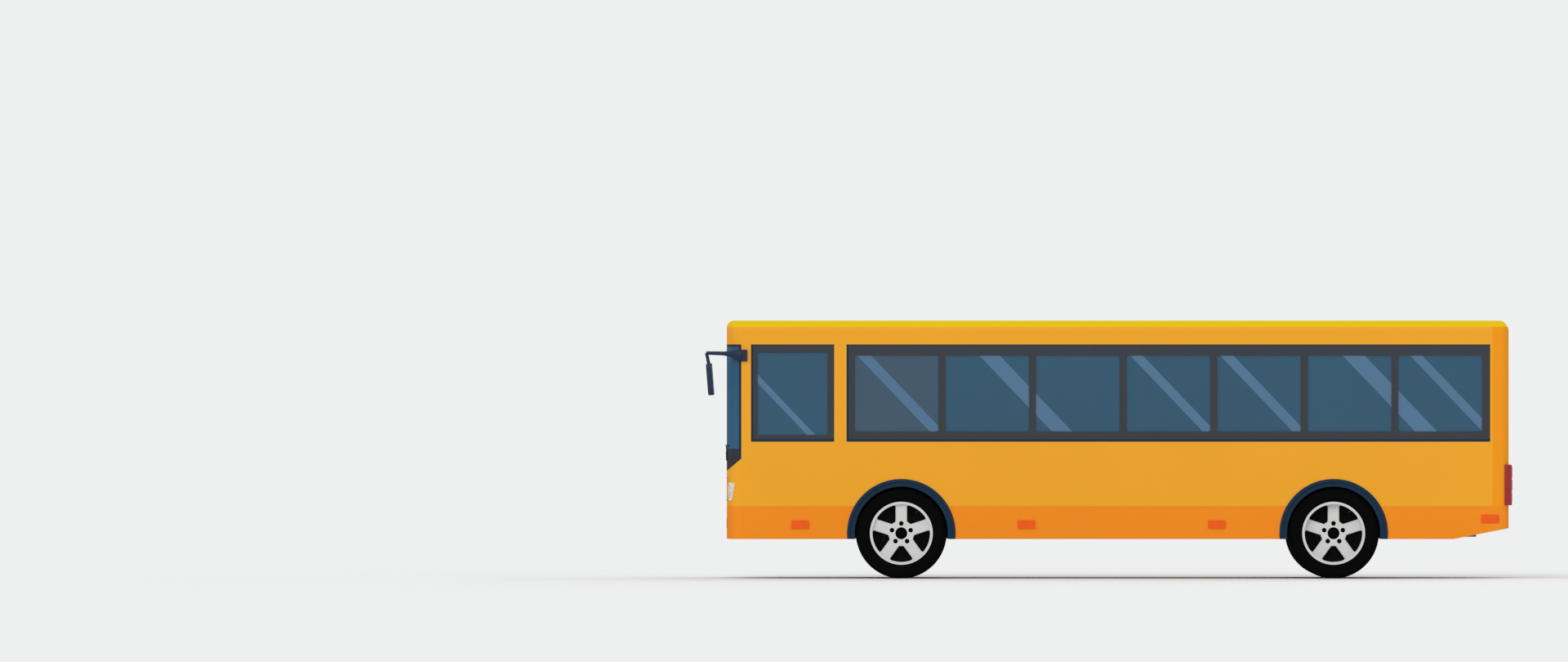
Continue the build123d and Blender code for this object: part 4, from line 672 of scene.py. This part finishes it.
LAMP_Z, HEAD_Y, BLINKER_Y = 1.012, 0.855, 1.000
LENS_SINK = 0.002
HEAD_BEZEL = [(0.079, -0.002), (0.079, 0.004), (0.083, 0.006), (0.088, 0.003), (0.088, -0.002),
              (0.079, -0.002)]
BLINKER_BEZEL = [(0.047, -0.002), (0.047, 0.004), (0.050, 0.005), (0.054, 0.003), (0.054, -0.002),
                 (0.047, -0.002)]
TAIL_LAMPS = (("reverse", "lamp_clear", 0.880, 1.005), ("stop", "lamp_red", 1.022, 1.150),
              ("turn", "lamp_orange", 1.167, 1.300))
TAIL_FACE, TAIL_Y, TAIL_HALF = REAR + 0.037, 1.114, 0.056
TAIL_INSET = 0.93


def dome(radius, rise):
    """Section of a lens: a shallow dome with a short upright rim that is sunk in."""
    steps, rim = 7, 0.35
    turns = [pi / 2 * k / steps for k in range(steps + 1)]
    arc = [(radius * sin(a), rise * (rim + (1 - rim) * cos(a))) for a in turns]
    return arc + [(radius, -LENS_SINK), (0, -LENS_SINK)]


def lamps(side, way):
    head, blinker = nose_place(way * HEAD_Y, LAMP_Z), nose_place(way * BLINKER_Y, LAMP_Z)
    lens = Shape()
    lens.lathe(dome(0.078, 0.008), head, 48)
    lens.make(f"head_lens_{side}", "lamp_clear")
    bezel = Shape()
    bezel.lathe(HEAD_BEZEL, head, 48)
    bezel.lathe(BLINKER_BEZEL, blinker, 40)
    bezel.make(f"head_bezel_{side}", "mirror_dark", CHROME)
    lens = Shape()
    lens.lathe(dome(0.046, 0.007), blinker, 40)
    lens.make(f"front_blinker_{side}", "lamp_orange")
    for label, slot, low, high in TAIL_LAMPS:
        segment = Shape()
        outline = centred(TAIL_HALF, (high - low) / 2, 0.018)
        place = rearwards(TAIL_FACE, way * TAIL_Y, (low + high) / 2)
        segment.prism(outline, 0.003, place)
        segment.prism([(TAIL_INSET * x, TAIL_INSET * y) for x, y in outline], 0.006, place)
        segment.make(f"tail_{label}_{side}", slot, bevel=0.0012)


for side_name, side_way in SIDES.items():
    lamps(side_name, side_way)


# Blank plates, and the louvres and latches of the engine hatch

PLATE_HALF, PLATE_THICK = (0.26, 0.055), 0.004
FRONT_PLATE_Z, REAR_PLATE_Z = 0.640, 0.745
LOUVRE = [(0, 0.010), (0, -0.008), (0.007, -0.012), (0.008, -0.010), (0.0015, 0.008)]
LOUVRE_ROWS, LOUVRE_FOOT, LOUVRE_PITCH = 9, 1.180, 0.028
LOUVRE_SPANS = ((-0.66, -0.04), (0.04, 0.66))
LATCH = [(0, 0.003), (0.016, 0.003), (0.019, 0.005), (0.024, 0.004), (0.025, -0.002), (0, -0.002)]
LATCH_Y, LATCH_Z = 0.60, 0.950


def blank_plates():
    plates = Shape()
    for place in (nose_place(0, FRONT_PLATE_Z), rearwards(REAR, 0, REAR_PLATE_Z)):
        plates.prism(centred(*PLATE_HALF, 0.012), PLATE_THICK, place)
    plates.make("blank_plates", "lamp_clear", PLATE, bevel=0.0012)


def hatch_parts():
    louvres = Shape()
    for row in range(LOUVRE_ROWS):
        for y0, y1 in LOUVRE_SPANS:
            place = facing((1, 0, 0), (0, 0, 1), (REAR, y1, LOUVRE_FOOT + LOUVRE_PITCH * row))
            louvres.prism(LOUVRE, y1 - y0, place)
    louvres.make("hatch_louvres", slot_of["engine_hatch"], body="engine_lid", crease=25)
    latches = Shape()
    for y in (-LATCH_Y, LATCH_Y):
        place = rearwards(REAR, y, LATCH_Z)
        latches.lathe(LATCH, place, 32)
        latches.prism(centred(0.014, 0.003, 0.002), 0.006, place)
    latches.make("hatch_latches", "rubber_black", body="engine_lid")


blank_plates()
hatch_parts()


# Mirrors: faces that look rearwards and a little up, and moulded arms that flare into the pillars

MIRROR_CENTRE = (FRONT - 0.195, HALF + 0.095, 2.3155)
MIRROR_LEAN = radians(4.4)
MIRROR_FACE = 0.0325
MIRROR_PANES = ((-0.040, 0.168), (-0.168, -0.052))
PANE_HALF = 0.094

# Oval sections along an arm: distance from the front, y, z, half width and half height
ARM_SECTIONS = ((0.168, 1.247, 2.594, 0.030, 0.066), (0.120, 1.252, 2.600, 0.028, 0.056),
                (0.070, 1.260, 2.607, 0.026, 0.043), (0.015, 1.268, 2.613, 0.024, 0.030),
                (-0.040, 1.275, 2.617, 0.022, 0.023), (-0.150, 1.288, 2.620, 0.021, 0.021),
                (-0.232, 1.299, 2.622, 0.020, 0.020))


def mirror_faces(side, way):
    up = (-sin(MIRROR_LEAN), 0, cos(MIRROR_LEAN))
    x, y, z = MIRROR_CENTRE
    place = facing((0, 1, 0), up, (x, way * y, z)) @ shift(0, 0, MIRROR_FACE)
    faces = Shape()
    for low, top in MIRROR_PANES:
        faces.prism(rounded(-PANE_HALF, PANE_HALF, low, top, 0.030), 0.0022, place)
    faces.make(f"mirror_faces_{side}", "mirror_dark", CHROME, bevel=0.0008)


def mirror_arm(side, way):
    arm = Shape()
    arm.loft([[(FRONT + x, way * (y + half_y * across), z + half_z * up) for across, up in circle(24)]
              for x, y, z, half_y, half_z in ARM_SECTIONS])
    arm.make(f"mirror_arm_{side}", "mirror_dark")


for add_mirror_part in (mirror_faces, mirror_arm):
    for side_name, side_way in SIDES.items():
        add_mirror_part(side_name, side_way)


# Wipers: rubber, bridge with claws, arm, rod and pivot cap

# The y of each blade's ends and of its pivot
WIPER_SWEEPS = ((-1.010, -0.130, -0.560), (-0.040, 0.840, 0.410))
BLADE_Z, PIVOT_Z = 1.541, 1.385
BLADE_STEPS = 20
RUBBER_RADIUS, BRIDGE_RADIUS, ARM_RADIUS = 0.0034, 0.0028, 0.0065
RUBBER_GAP, BRIDGE_GAP, FOOT_GAP, ROD_GAP = 0.0065, 0.0120, 0.011, 0.0145
PIVOT_CAP = [(0, 0.018), (0.010, 0.0175), (0.017, 0.014), (0.019, 0.008), (0.023, 0.004), (0.023, -0.002),
             (0, -0.002)]


def wiper_blades():
    wipers = Shape()
    for y0, y1, pivot_y in WIPER_SWEEPS:
        along = [y0 + (y1 - y0) * k / BLADE_STEPS for k in range(BLADE_STEPS + 1)]
        wipers.tube([off_nose(RUBBER_GAP, y, BLADE_Z) for y in along], RUBBER_RADIUS, 8)
        wipers.tube([off_nose(BRIDGE_GAP, y, BLADE_Z) for y in along[2:-2]], BRIDGE_RADIUS, 8)
        for y in along[2:-2:4]:
            claw = nose_place(y, BLADE_Z) @ shift(0, 0, 0.0035)
            wipers.prism(centred(0.006, 0.007, 0.002, 3), 0.012, claw)
        foot = off_nose(FOOT_GAP, pivot_y, PIVOT_Z)
        top = off_nose(ROD_GAP, (y0 + y1) / 2, BLADE_Z)
        knee = foot.lerp(top, 0.55)
        wipers.tube([foot, foot.lerp(knee, 0.5), knee], ARM_RADIUS, 12)
        wipers.tube([knee, knee.lerp(top, 0.5), top], RUBBER_RADIUS, 8)
        wipers.lathe(PIVOT_CAP, nose_place(pivot_y, PIVOT_Z), 32)
    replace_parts(wipers.make("wiper_blades", "rubber_black"), "wipers")


wiper_blades()


# Inside: step nosings, cabin lamps, binnacle and dials

# Start and width of each doorway in millimetres, and the y and z of each step's edge
DOORWAYS = ((300, 1000), (3700, 1150))
STEP_EDGES = ((0.645, 0.685), (0.412, 0.900))
NOSING_GAP = 4
NOSING_SECTION = [(-0.036, 0), (-0.036, 0.0026), (0.002, 0.0026), (0.0028, 0.0018), (0.0028, -0.022),
                  (0, -0.022), (0, 0)]
TILE_STARTS = range(1600, 7700, 1220)
TILE_LENGTH, TILE_HALF, TILE_DROP = 1.16, 0.055, 0.022
TILE_Y, TILE_Z = 0.75, 2.9255
BINNACLE = [(0.240, 1.440), (0.425, 1.440), (0.418, 1.478), (0.400, 1.488), (0.378, 1.578), (0.392, 1.592),
            (0.372, 1.604), (0.300, 1.592), (0.248, 1.540)]
BINNACLE_RIGHT, BINNACLE_WIDTH = -0.49, 0.40
DIALS = ((-0.775, 0.036), (-0.605, 0.036), (-0.69, 0.024))
DIAL_X, DIAL_Z, DIAL_UP = FRONT + 0.3895, 1.533, (-0.022, 0, 0.090)
DIAL_TICKS, FIRST_TICK, TICK_TURN, NEEDLE_TURN = 11, 225, 27, 200
TICK_HALF = 0.0006


def step_nosings():
    nosings = Shape()
    for start, width in DOORWAYS:
        for y, z in STEP_EDGES:
            nosings.prism(NOSING_SECTION, (width - 2 * NOSING_GAP) / 1000,
                          rearwards(at(start + NOSING_GAP), y, z))
    nosings.make("step_nosings", "step_metal", NOSING)


def cabin_lamps():
    tiles = Shape()
    half_round = [(TILE_HALF * x, TILE_DROP * y) for x, y in circle(20, start=180)[:11]]
    for y in (-TILE_Y, TILE_Y):
        for start in TILE_STARTS:
            tiles.prism(half_round, TILE_LENGTH, rearwards(at(start), y, TILE_Z))
    tiles.make("cabin_lamps", "frame_dark", LIGHT_TILE, crease=60)


def binnacle():
    hood = Shape()
    hood.prism(BINNACLE, BINNACLE_WIDTH, facing((1, 0, 0), (0, 0, 1), (FRONT, BINNACLE_RIGHT, 0)))
    hood.make("dash_binnacle", "dash_grey", bevel=0.006, bevel_steps=3)
    rims, marks = Shape(), Shape()
    for y, radius in DIALS:
        place = facing((0, 1, 0), DIAL_UP, (DIAL_X, y, DIAL_Z))
        inner, outer = radius - 0.003, radius + 0.002
        rims.lathe([(0, 0.001), (inner, 0.001), (inner, 0.005), (radius, 0.006), (outer, 0.003),
                    (outer, -0.002), (0, -0.002)], place, 40)
        near, far, tip = 0.74 * radius, 0.88 * radius, 0.7 * radius
        for tick in range(DIAL_TICKS):
            turn = turned(FIRST_TICK - TICK_TURN * tick, "Z")
            marks.prism([(near, -TICK_HALF), (far, -TICK_HALF), (far, TICK_HALF), (near, TICK_HALF)],
                        0.0014, place @ turn)
        turn = turned(NEEDLE_TURN, "Z")
        marks.prism([(-0.004, -0.0012), (tip, -0.0004), (tip, 0.0004), (-0.004, 0.0012)], 0.0022,
                    place @ turn)
    rims.make("dial_faces", "grip_black")
    marks.make("dial_marks", "lamp_clear", PLATE)


step_nosings()
cabin_lamps()
binnacle()


# Driver's seat: cushion, back and head pad over a frame, bellows and slides

PAD_STEPS, PAD_ROLL, PAD_PULL, SEAM_WIDTH = 28, 0.35, 0.012, 0.035
SEAT_X, SEAT_Y = at(880), -0.690
BELLOWS_ROWS, BELLOWS_FOOT, BELLOWS_PITCH = 9, 0.985, 0.026

# Two slides, plinth and pan: x from the seat's front, y from its middle, z, and the corners' radius
SEAT_PLATES = ((0.055, 0.385, -0.162, -0.118, 0.900, 0.934, 0.01),
               (0.055, 0.385, 0.118, 0.162, 0.900, 0.934, 0.01),
               (0.045, 0.395, -0.172, 0.172, 0.932, 0.987, 0.03),
               (0.02, 0.44, -0.225, 0.225, 1.216, 1.238, 0.05))


def drawn_in(a, b, c):
    """One coordinate of a point on a cube's surface, drawn in towards a ball."""
    return a * sqrt(1 - PAD_ROLL * (b * b + c * c) / 2 + PAD_ROLL ** 2 * b * b * c * c / 3)


def pad(name, half, place, crown, channels=()):
    """A stuffed pad: crowned above, drawn in along its sides, with sewn channels across its top.

    half is its half sizes, and channels are (axis, place, depth): 0 for a seam that crosses x, 1 for y.
    """
    grid = {}
    verts, faces = [], []

    def vertex(key):
        if key not in grid:
            u, v, w = (2 * n / PAD_STEPS - 1 for n in key)
            x, y, z = half[0] * drawn_in(u, v, w), half[1] * drawn_in(v, u, w), half[2] * drawn_in(w, u, v)
            x -= PAD_PULL * u * (1 - v * v) * (1 - w * w)
            y -= PAD_PULL * v * (1 - u * u) * (1 - w * w)
            z += crown * (1 - u * u) * (1 - v * v) * max(0.0, w)
            for axis, where, depth in channels:
                z -= depth * exp(-(((u, v)[axis] - where) / SEAM_WIDTH) ** 2) * max(0.0, w)
            grid[key] = len(verts)
            verts.append(place @ Vector((x, y, z)))
        return grid[key]

    for i in range(PAD_STEPS):
        for j in range(PAD_STEPS):
            corners = [(i, j), (i + 1, j), (i + 1, j + 1), (i, j + 1)]
            for end in (0, PAD_STEPS):
                for keys in ([(a, b, end) for a, b in corners], [(b, end, a) for a, b in corners],
                             [(end, a, b) for a, b in corners]):
                    loop = [vertex(key) for key in keys]
                    faces.append(tuple(loop if end else reversed(loop)))
    obj = piece(name, verts, faces, "bus_body", MATERIALS["driver_seat_fabric"])
    round_off = obj.modifiers.new("round", "SUBSURF")
    round_off.levels = round_off.render_levels = 1
    return obj


def driver_seat():
    flat = shift(SEAT_X + 0.226, SEAT_Y, 1.274)
    cushion = pad("driver_cushion", (0.222, 0.245, 0.050), flat,
                  0.016, ((1, -0.62, 0.012), (1, 0.62, 0.012), (0, -0.15, 0.007), (0, 0.35, 0.007)))
    back = (shift(SEAT_X + 0.420, SEAT_Y, 1.300) @ turned(7, "Y")
            @ shift(0, 0, 0.320))
    forwards = turned(-90, "Y")
    pad("driver_backrest", (0.285, 0.228, 0.040), back @ forwards,
        0.010, ((1, -0.62, 0.010), (1, 0.62, 0.010), (0, -0.3, 0.007), (0, 0.2, 0.007)))
    head = back @ shift(0.004, 0, 0.328) @ forwards
    pad("driver_head_pad", (0.070, 0.130, 0.036), head, 0.008)

    bellows = Shape()
    x = SEAT_X + 0.22
    for row in range(BELLOWS_ROWS):
        half, low = 0.168 if row % 2 else 0.150, BELLOWS_FOOT + BELLOWS_PITCH * row
        bellows.box(x - half, x + half, SEAT_Y - half, SEAT_Y + half, low, low + 0.0262, 0.04, 5)
    bellows.make("seat_bellows", "rubber_black", bevel=0.006)
    parts = Shape()
    for x0, x1, y0, y1, z0, z1, corner in SEAT_PLATES:
        parts.box(SEAT_X + x0, SEAT_X + x1, SEAT_Y + y0, SEAT_Y + y1, z0, z1, corner, 5)
    for y in (-0.045, 0.045):
        parts.tube([back @ Vector((0, y, z)) for z in (0.24, 0.27, 0.30)], 0.006, 10)
    stay = [Vector((SEAT_X + 0.40, SEAT_Y, 1.228)), Vector((SEAT_X + 0.445, SEAT_Y, 1.245)),
            back @ Vector((0.030, 0, -0.26)), back @ Vector((0.034, 0, -0.05))]
    for y in (-0.15, 0.15):
        parts.tube([point + Vector((0, y, 0)) for point in stay], 0.013, 12)
    parts.make("seat_frame", "grip_black", bevel=0.003)
    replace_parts(cushion, "driver_seat")


driver_seat()


# Underneath: U-bolts, exhaust, air tanks, battery box, brake chambers, shock absorbers and engine drive

FLOOR_BOTTOM = 0.840
SPRING_Y = 0.365
BOLT_SPREAD, BOLT_HALF, BOLT_FOOT, BOLT_TOP, BOLT_RISE = 0.052, 0.045, 0.430, 0.652, 0.012
CAN_RADIUS = 0.105
EXHAUST_Y, EXHAUST_Z = 0.800, 0.660
TANK_YS, TANK_Z = (0.660, 0.900), 0.690
BATTERY_BOX = (at(5000), at(5640), -1.100, -0.560)
CHAMBER_Y, CHAMBER_Z = 0.500, 0.560
SHOCK_Y = 0.455

# Pulleys' y, z and radius on the engine's rear face, and the belt's path round them
PULLEYS = ((0.0, 0.980, 0.080), (-0.210, 1.010, 0.050), (0.210, 1.000, 0.060))
ENGINE_FACE = at(8740)
BELT = ((-0.226, 1.061), (-0.263, 1.006), (-0.226, 0.960), (-0.016, 0.899), (0.030, 0.904), (0.226, 0.940),
        (0.271, 1.000), (0.214, 1.061), (-0.226, 1.061))
FAN_BLADES = 7
FAN_BLADE = [(-0.018, 0), (0.018, 0), (0.030, 0.105), (-0.024, 0.105)]


def spot(from_front, y, z):
    """A point given by its distance in millimetres from the front face."""
    return Vector((at(from_front), y, z))


def bent(points, radius, steps=6):
    """A path whose corners are rounded."""
    path = [points[0]]
    for before, corner, after in zip(points, points[1:], points[2:]):
        a = corner + (before - corner).normalized() * radius
        b = corner + (after - corner).normalized() * radius
        for k in range(steps + 1):
            t = k / steps
            path.append((1 - t) ** 2 * a + 2 * t * (1 - t) * corner + t * t * b)
    return path + [points[-1]]


def u_bolts():
    bolts = Shape()
    for axle_x in AXLES.values():
        for way in SIDES.values():
            for x in (axle_x - BOLT_SPREAD, axle_x + BOLT_SPREAD):
                arch = [Vector((x, way * SPRING_Y + BOLT_HALF * across, BOLT_TOP + BOLT_RISE * up))
                        for across, up in circle(16)[8::-1]]
                legs = (arch[0].y, arch[-1].y)
                ends = [Vector((x, y, BOLT_FOOT)) for y in legs]
                bolts.tube([ends[0], *arch, ends[1]], 0.007, 8)
                for y in legs:
                    bolts.prism(circle(6, 0.013), 0.013, shift(x, y, BOLT_FOOT + 0.006))
    bolts.make("spring_u_bolts", "axle_black", BOLT)


def exhaust():
    y, z = EXHAUST_Y, EXHAUST_Z
    pipes = Shape()
    pipes.can(spot(8120, y, z), spot(8700, y, z), CAN_RADIUS, (0.25, 0.75))
    pipes.tube(bent([spot(8005, 0.305, 0.600), spot(8005, y, 0.600), spot(8130, y, z)], 0.10), 0.032, 16)
    pipes.tube(bent([spot(8690, y, z), spot(8860, y, z), spot(8970, y, 0.625)], 0.06), 0.030, 16)
    for hanger in (8265, 8555):
        pipes.tube([spot(hanger, y, z + 0.100), spot(hanger, y, FLOOR_BOTTOM)], 0.008, 8)
    pipes.make("exhaust_silencer", "engine_grey", EXHAUST)


def air_tanks():
    tanks = Shape()
    for y in TANK_YS:
        tanks.can(spot(5150, y, TANK_Z), spot(5950, y, TANK_Z), CAN_RADIUS, (0.2, 0.8))
        tanks.tube([spot(5550, y, 0.590), spot(5550, y, 0.565)], 0.012, 10)
    for strap in (5310, 5790):
        tanks.box(at(strap) - 0.022, at(strap) + 0.022, 0.60, 0.96, 0.780, FLOOR_BOTTOM)
    tanks.make("air_tanks", "tank_grey")


def battery_box():
    """A box and the rim of its lid, with ribs below, two straps and two latches."""
    box = Shape()
    x0, x1, y0, y1 = BATTERY_BOX
    foot, half = 0.548, 0.020
    box.box(x0, x1, y0, y1, 0.560, 0.790, 0.03)
    box.box(x0 - 0.008, x1 + 0.008, y0 - 0.008, y1 + 0.008, 0.750, 0.764, 0.035)
    for k in range(5):
        x = x0 + (x1 - x0) * (k + 0.5) / 5
        box.box(x - 0.010, x + 0.010, y0 + 0.06, y1 - 0.06, 0.556, 0.562)
    for x in (x0 + 0.10, x1 - 0.10):
        box.box(x - half, x + half, y0 - 0.014, y1 + 0.014, foot, 0.557)
        for y in (y0 - 0.011, y1 + 0.011):
            box.box(x - half, x + half, y - 0.003, y + 0.003, foot, FLOOR_BOTTOM, 0.002)
    for x in (x0 + 0.16, x1 - 0.16):
        box.box(x - 0.030, x + 0.030, y0 - 0.016, y0, 0.700, 0.748)
    box.make("battery_box", "chassis_black", bevel=0.0015)


def axle_parts():
    """Brake chambers behind the rear axle's tube, and a shock absorber by each spring."""
    parts = Shape()
    z = CHAMBER_Z
    for side in SIDES.values():
        x, y = AXLES["rear"], side * CHAMBER_Y
        parts.can(Vector((x - 0.320, y, z)), Vector((x - 0.185, y, z)), 0.066, (0.5,))
        parts.tube([Vector((x - 0.190, y, z)), Vector((x - 0.060, y, z - 0.030))], 0.010, 10)
        parts.box(x - 0.200, x - 0.050, y - 0.012, y + 0.012, 0.470, 0.512)
        for axle_x, end in ((AXLES["front"], -1), (AXLES["rear"], 1)):
            foot = Vector((axle_x + end * 0.085, side * SHOCK_Y, 0.500))
            head = Vector((axle_x + end * 0.330, side * SHOCK_Y, 0.790))
            parts.tube([foot, foot.lerp(head, 0.5)], 0.024, 16)
            parts.tube([foot.lerp(head, 0.42), head], 0.031, 16)
            eye = Vector((0, 0.030, 0))
            for point in (foot, head):
                parts.tube([point - eye, point + eye], 0.026, 16)
            parts.tube([head - Vector((0, side * 0.060, 0)), head], 0.011, 10)
    parts.make("brake_chambers_and_shocks", "axle_black")


def engine_drive():
    """Fan, pulleys and belt on the engine's rear face, behind the lid."""
    drive = Shape()
    for y, z, radius in PULLEYS:
        drive.lathe([(0, -0.002), (0.030, -0.002), (0.030, 0.012), (radius, 0.012), (radius, 0.016),
                     (radius - 0.006, 0.021), (radius, 0.026), (radius, 0.030), (0.025, 0.030),
                     (0.025, 0.046), (0, 0.046)], rearwards(ENGINE_FACE, y, z), 40)
    hub = rearwards(ENGINE_FACE + 0.040, *PULLEYS[0][:2])
    for k in range(FAN_BLADES):
        turn = (hub @ turned(360 * k / FAN_BLADES, "Z")
                @ shift(0, 0.020, 0.010) @ turned(28, "Y"))
        drive.prism(FAN_BLADE, 0.003, turn)
    drive.make("engine_fan_drive", "engine_grey", EXHAUST)
    belt = Shape()
    belt.tube([Vector((ENGINE_FACE + 0.021, y, z)) for y, z in BELT], 0.0055, 8)
    belt.make("engine_belt", "rubber_black")


for add_hardware in (u_bolts, exhaust, air_tanks, battery_box, axle_parts, engine_drive):
    add_hardware()


# Doors: rubber beads round the panes and a lip along each meeting edge

# Panes run from the first to the second length from the front, and leaves meet at the third
DOOR_LEAVES = {"front_door_fore": (373, 734, 796), "front_door_aft": (866, 1227, 804),
               "middle_door_fore": (3773, 4209, 4271), "middle_door_aft": (4341, 4777, 4279)}
DOOR_PANE_HEIGHTS = ((0.640, 1.340), (1.410, 2.476))
LIP_HEIGHTS, LIP_WIDTH = (0.520, 2.510), 0.016
LEAF_FACE = 1.211


def door_rubbers(body, start, end, meeting):
    rubber = Shape()
    for low, top in DOOR_PANE_HEIGHTS:
        outer, inner = (rounded(at(start) - grow, at(end) + grow, low - grow, top + grow, 0.02 + grow)
                        for grow in (0.007, -0.006))
        rubber.loft([[(xo, LEAF_FACE - 0.010, zo), (xo, LEAF_FACE + 0.0015, zo),
                      (xi, LEAF_FACE - 0.0005, zi), (xi, LEAF_FACE - 0.0155, zi)]
                     for (xo, zo), (xi, zi) in zip(outer, inner)], ends="joined")
    inwards = -1 if body.endswith("fore") else 1
    x0, x1 = sorted((at(meeting), at(meeting) + inwards * LIP_WIDTH))
    rubber.sheet("right", rounded(x0, x1, *LIP_HEIGHTS, 0.004, 3), LEAF_FACE - 0.0002, 0.0015)
    rubber.make(f"{body}_rubbers", "rubber_black", body=body)


for leaf, lengths in DOOR_LEAVES.items():
    door_rubbers(leaf, *lengths)


# Front: seal and latches of the service flap between the headlamps

FLAP = (-0.600, 0.600, 0.905, 1.165)
FLAP_STEP = 0.06
FLAP_LATCH = [(0, 0.003), (0.010, 0.003), (0.013, 0.001), (0.013, -0.002), (0, -0.002)]
FLAP_LATCH_Y, FLAP_LATCH_Z = 0.470, 1.125


def front_flap():
    seal = Shape()
    corners = rounded(*FLAP, 0.045, 6)
    path = []
    for (y0, z0), (y1, z1) in zip(corners, corners[1:] + corners[:1]):
        steps = max(1, round(abs(y1 - y0) / FLAP_STEP))
        path += [(y0 + (y1 - y0) * k / steps, z0 + (z1 - z0) * k / steps) for k in range(steps)]
    path.append(path[0])
    seal.tube([off_nose(0, y, z) for y, z in path], 0.003, 8)
    for y in (-FLAP_LATCH_Y, FLAP_LATCH_Y):
        seal.lathe(FLAP_LATCH, nose_place(y, FLAP_LATCH_Z), 24)
    seal.make("front_flap_seal", "rubber_black")


front_flap()


# Camera, light and floor

CAMERA_X, CAMERA_DISTANCE, CAMERA_Z = -3.7735, 340, 2.8785

scene = bpy.context.scene
scene.view_settings.view_transform = "Standard"

camera = new_object("camera", bpy.data.cameras.new("camera"))
scene.camera = camera
camera.location = (CAMERA_X, -HALF - CAMERA_DISTANCE, CAMERA_Z)
camera.rotation_euler = (radians(90), 0, 0)
camera.data.sensor_width = 36
camera.data.lens = 671
camera.data.clip_start = 1
camera.data.clip_end = 1500


def sun(name, direction, strength, spread):
    lamp = new_object(name, bpy.data.lights.new(name, "SUN"))
    lamp.rotation_euler = Vector(direction).to_track_quat("-Z", "Y").to_euler()
    lamp.data.energy = strength
    lamp.data.angle = radians(spread)


def studio(light, seen):
    """Even white light, and a plain backdrop for camera, glossy and transmission rays."""
    world = bpy.data.worlds.new("studio")
    scene.world = world
    world.use_nodes = True
    tree = world.node_tree
    link = tree.links.new
    lighting = set_inputs(tree.nodes["Background"], {"Color": (1, 1, 1, 1), "Strength": light})
    backdrop = new_node(tree, "Background", {"Color": linear(seen), "Strength": 1.0})
    rays = new_node(tree, "LightPath")
    first, both = new_node(tree, "Math"), new_node(tree, "Math")
    first.operation = both.operation = "MAXIMUM"
    link(rays.outputs["Is Camera Ray"], first.inputs[0])
    link(rays.outputs["Is Glossy Ray"], first.inputs[1])
    link(first.outputs[0], both.inputs[0])
    link(rays.outputs["Is Transmission Ray"], both.inputs[1])
    mixer = new_node(tree, "MixShader")
    link(both.outputs[0], mixer.inputs["Fac"])
    link(lighting.outputs[0], mixer.inputs[1])
    link(backdrop.outputs[0], mixer.inputs[2])
    link(mixer.outputs[0], tree.nodes["World Output"].inputs["Surface"])


def studio_floor(half):
    mesh = bpy.data.meshes.new("studio_floor")
    mesh.from_pydata([(-half, -half, 0), (half, -half, 0), (half, half, 0), (-half, half, 0)], [],
                     [(0, 1, 2, 3)])
    mesh.materials.append(finish("studio_floor", "#f3f5f5", rough=0.9, vary=0.004, size=0.3, specular=0.0))
    floor = new_object("studio_floor", mesh)


sun("key", (0.35, 1.0, -0.60), 0.95, 40)
sun("fill", (-0.5, -1.0, -0.60), 0.70, 50)
studio(0.70, "#eef0f0")
studio_floor(60)
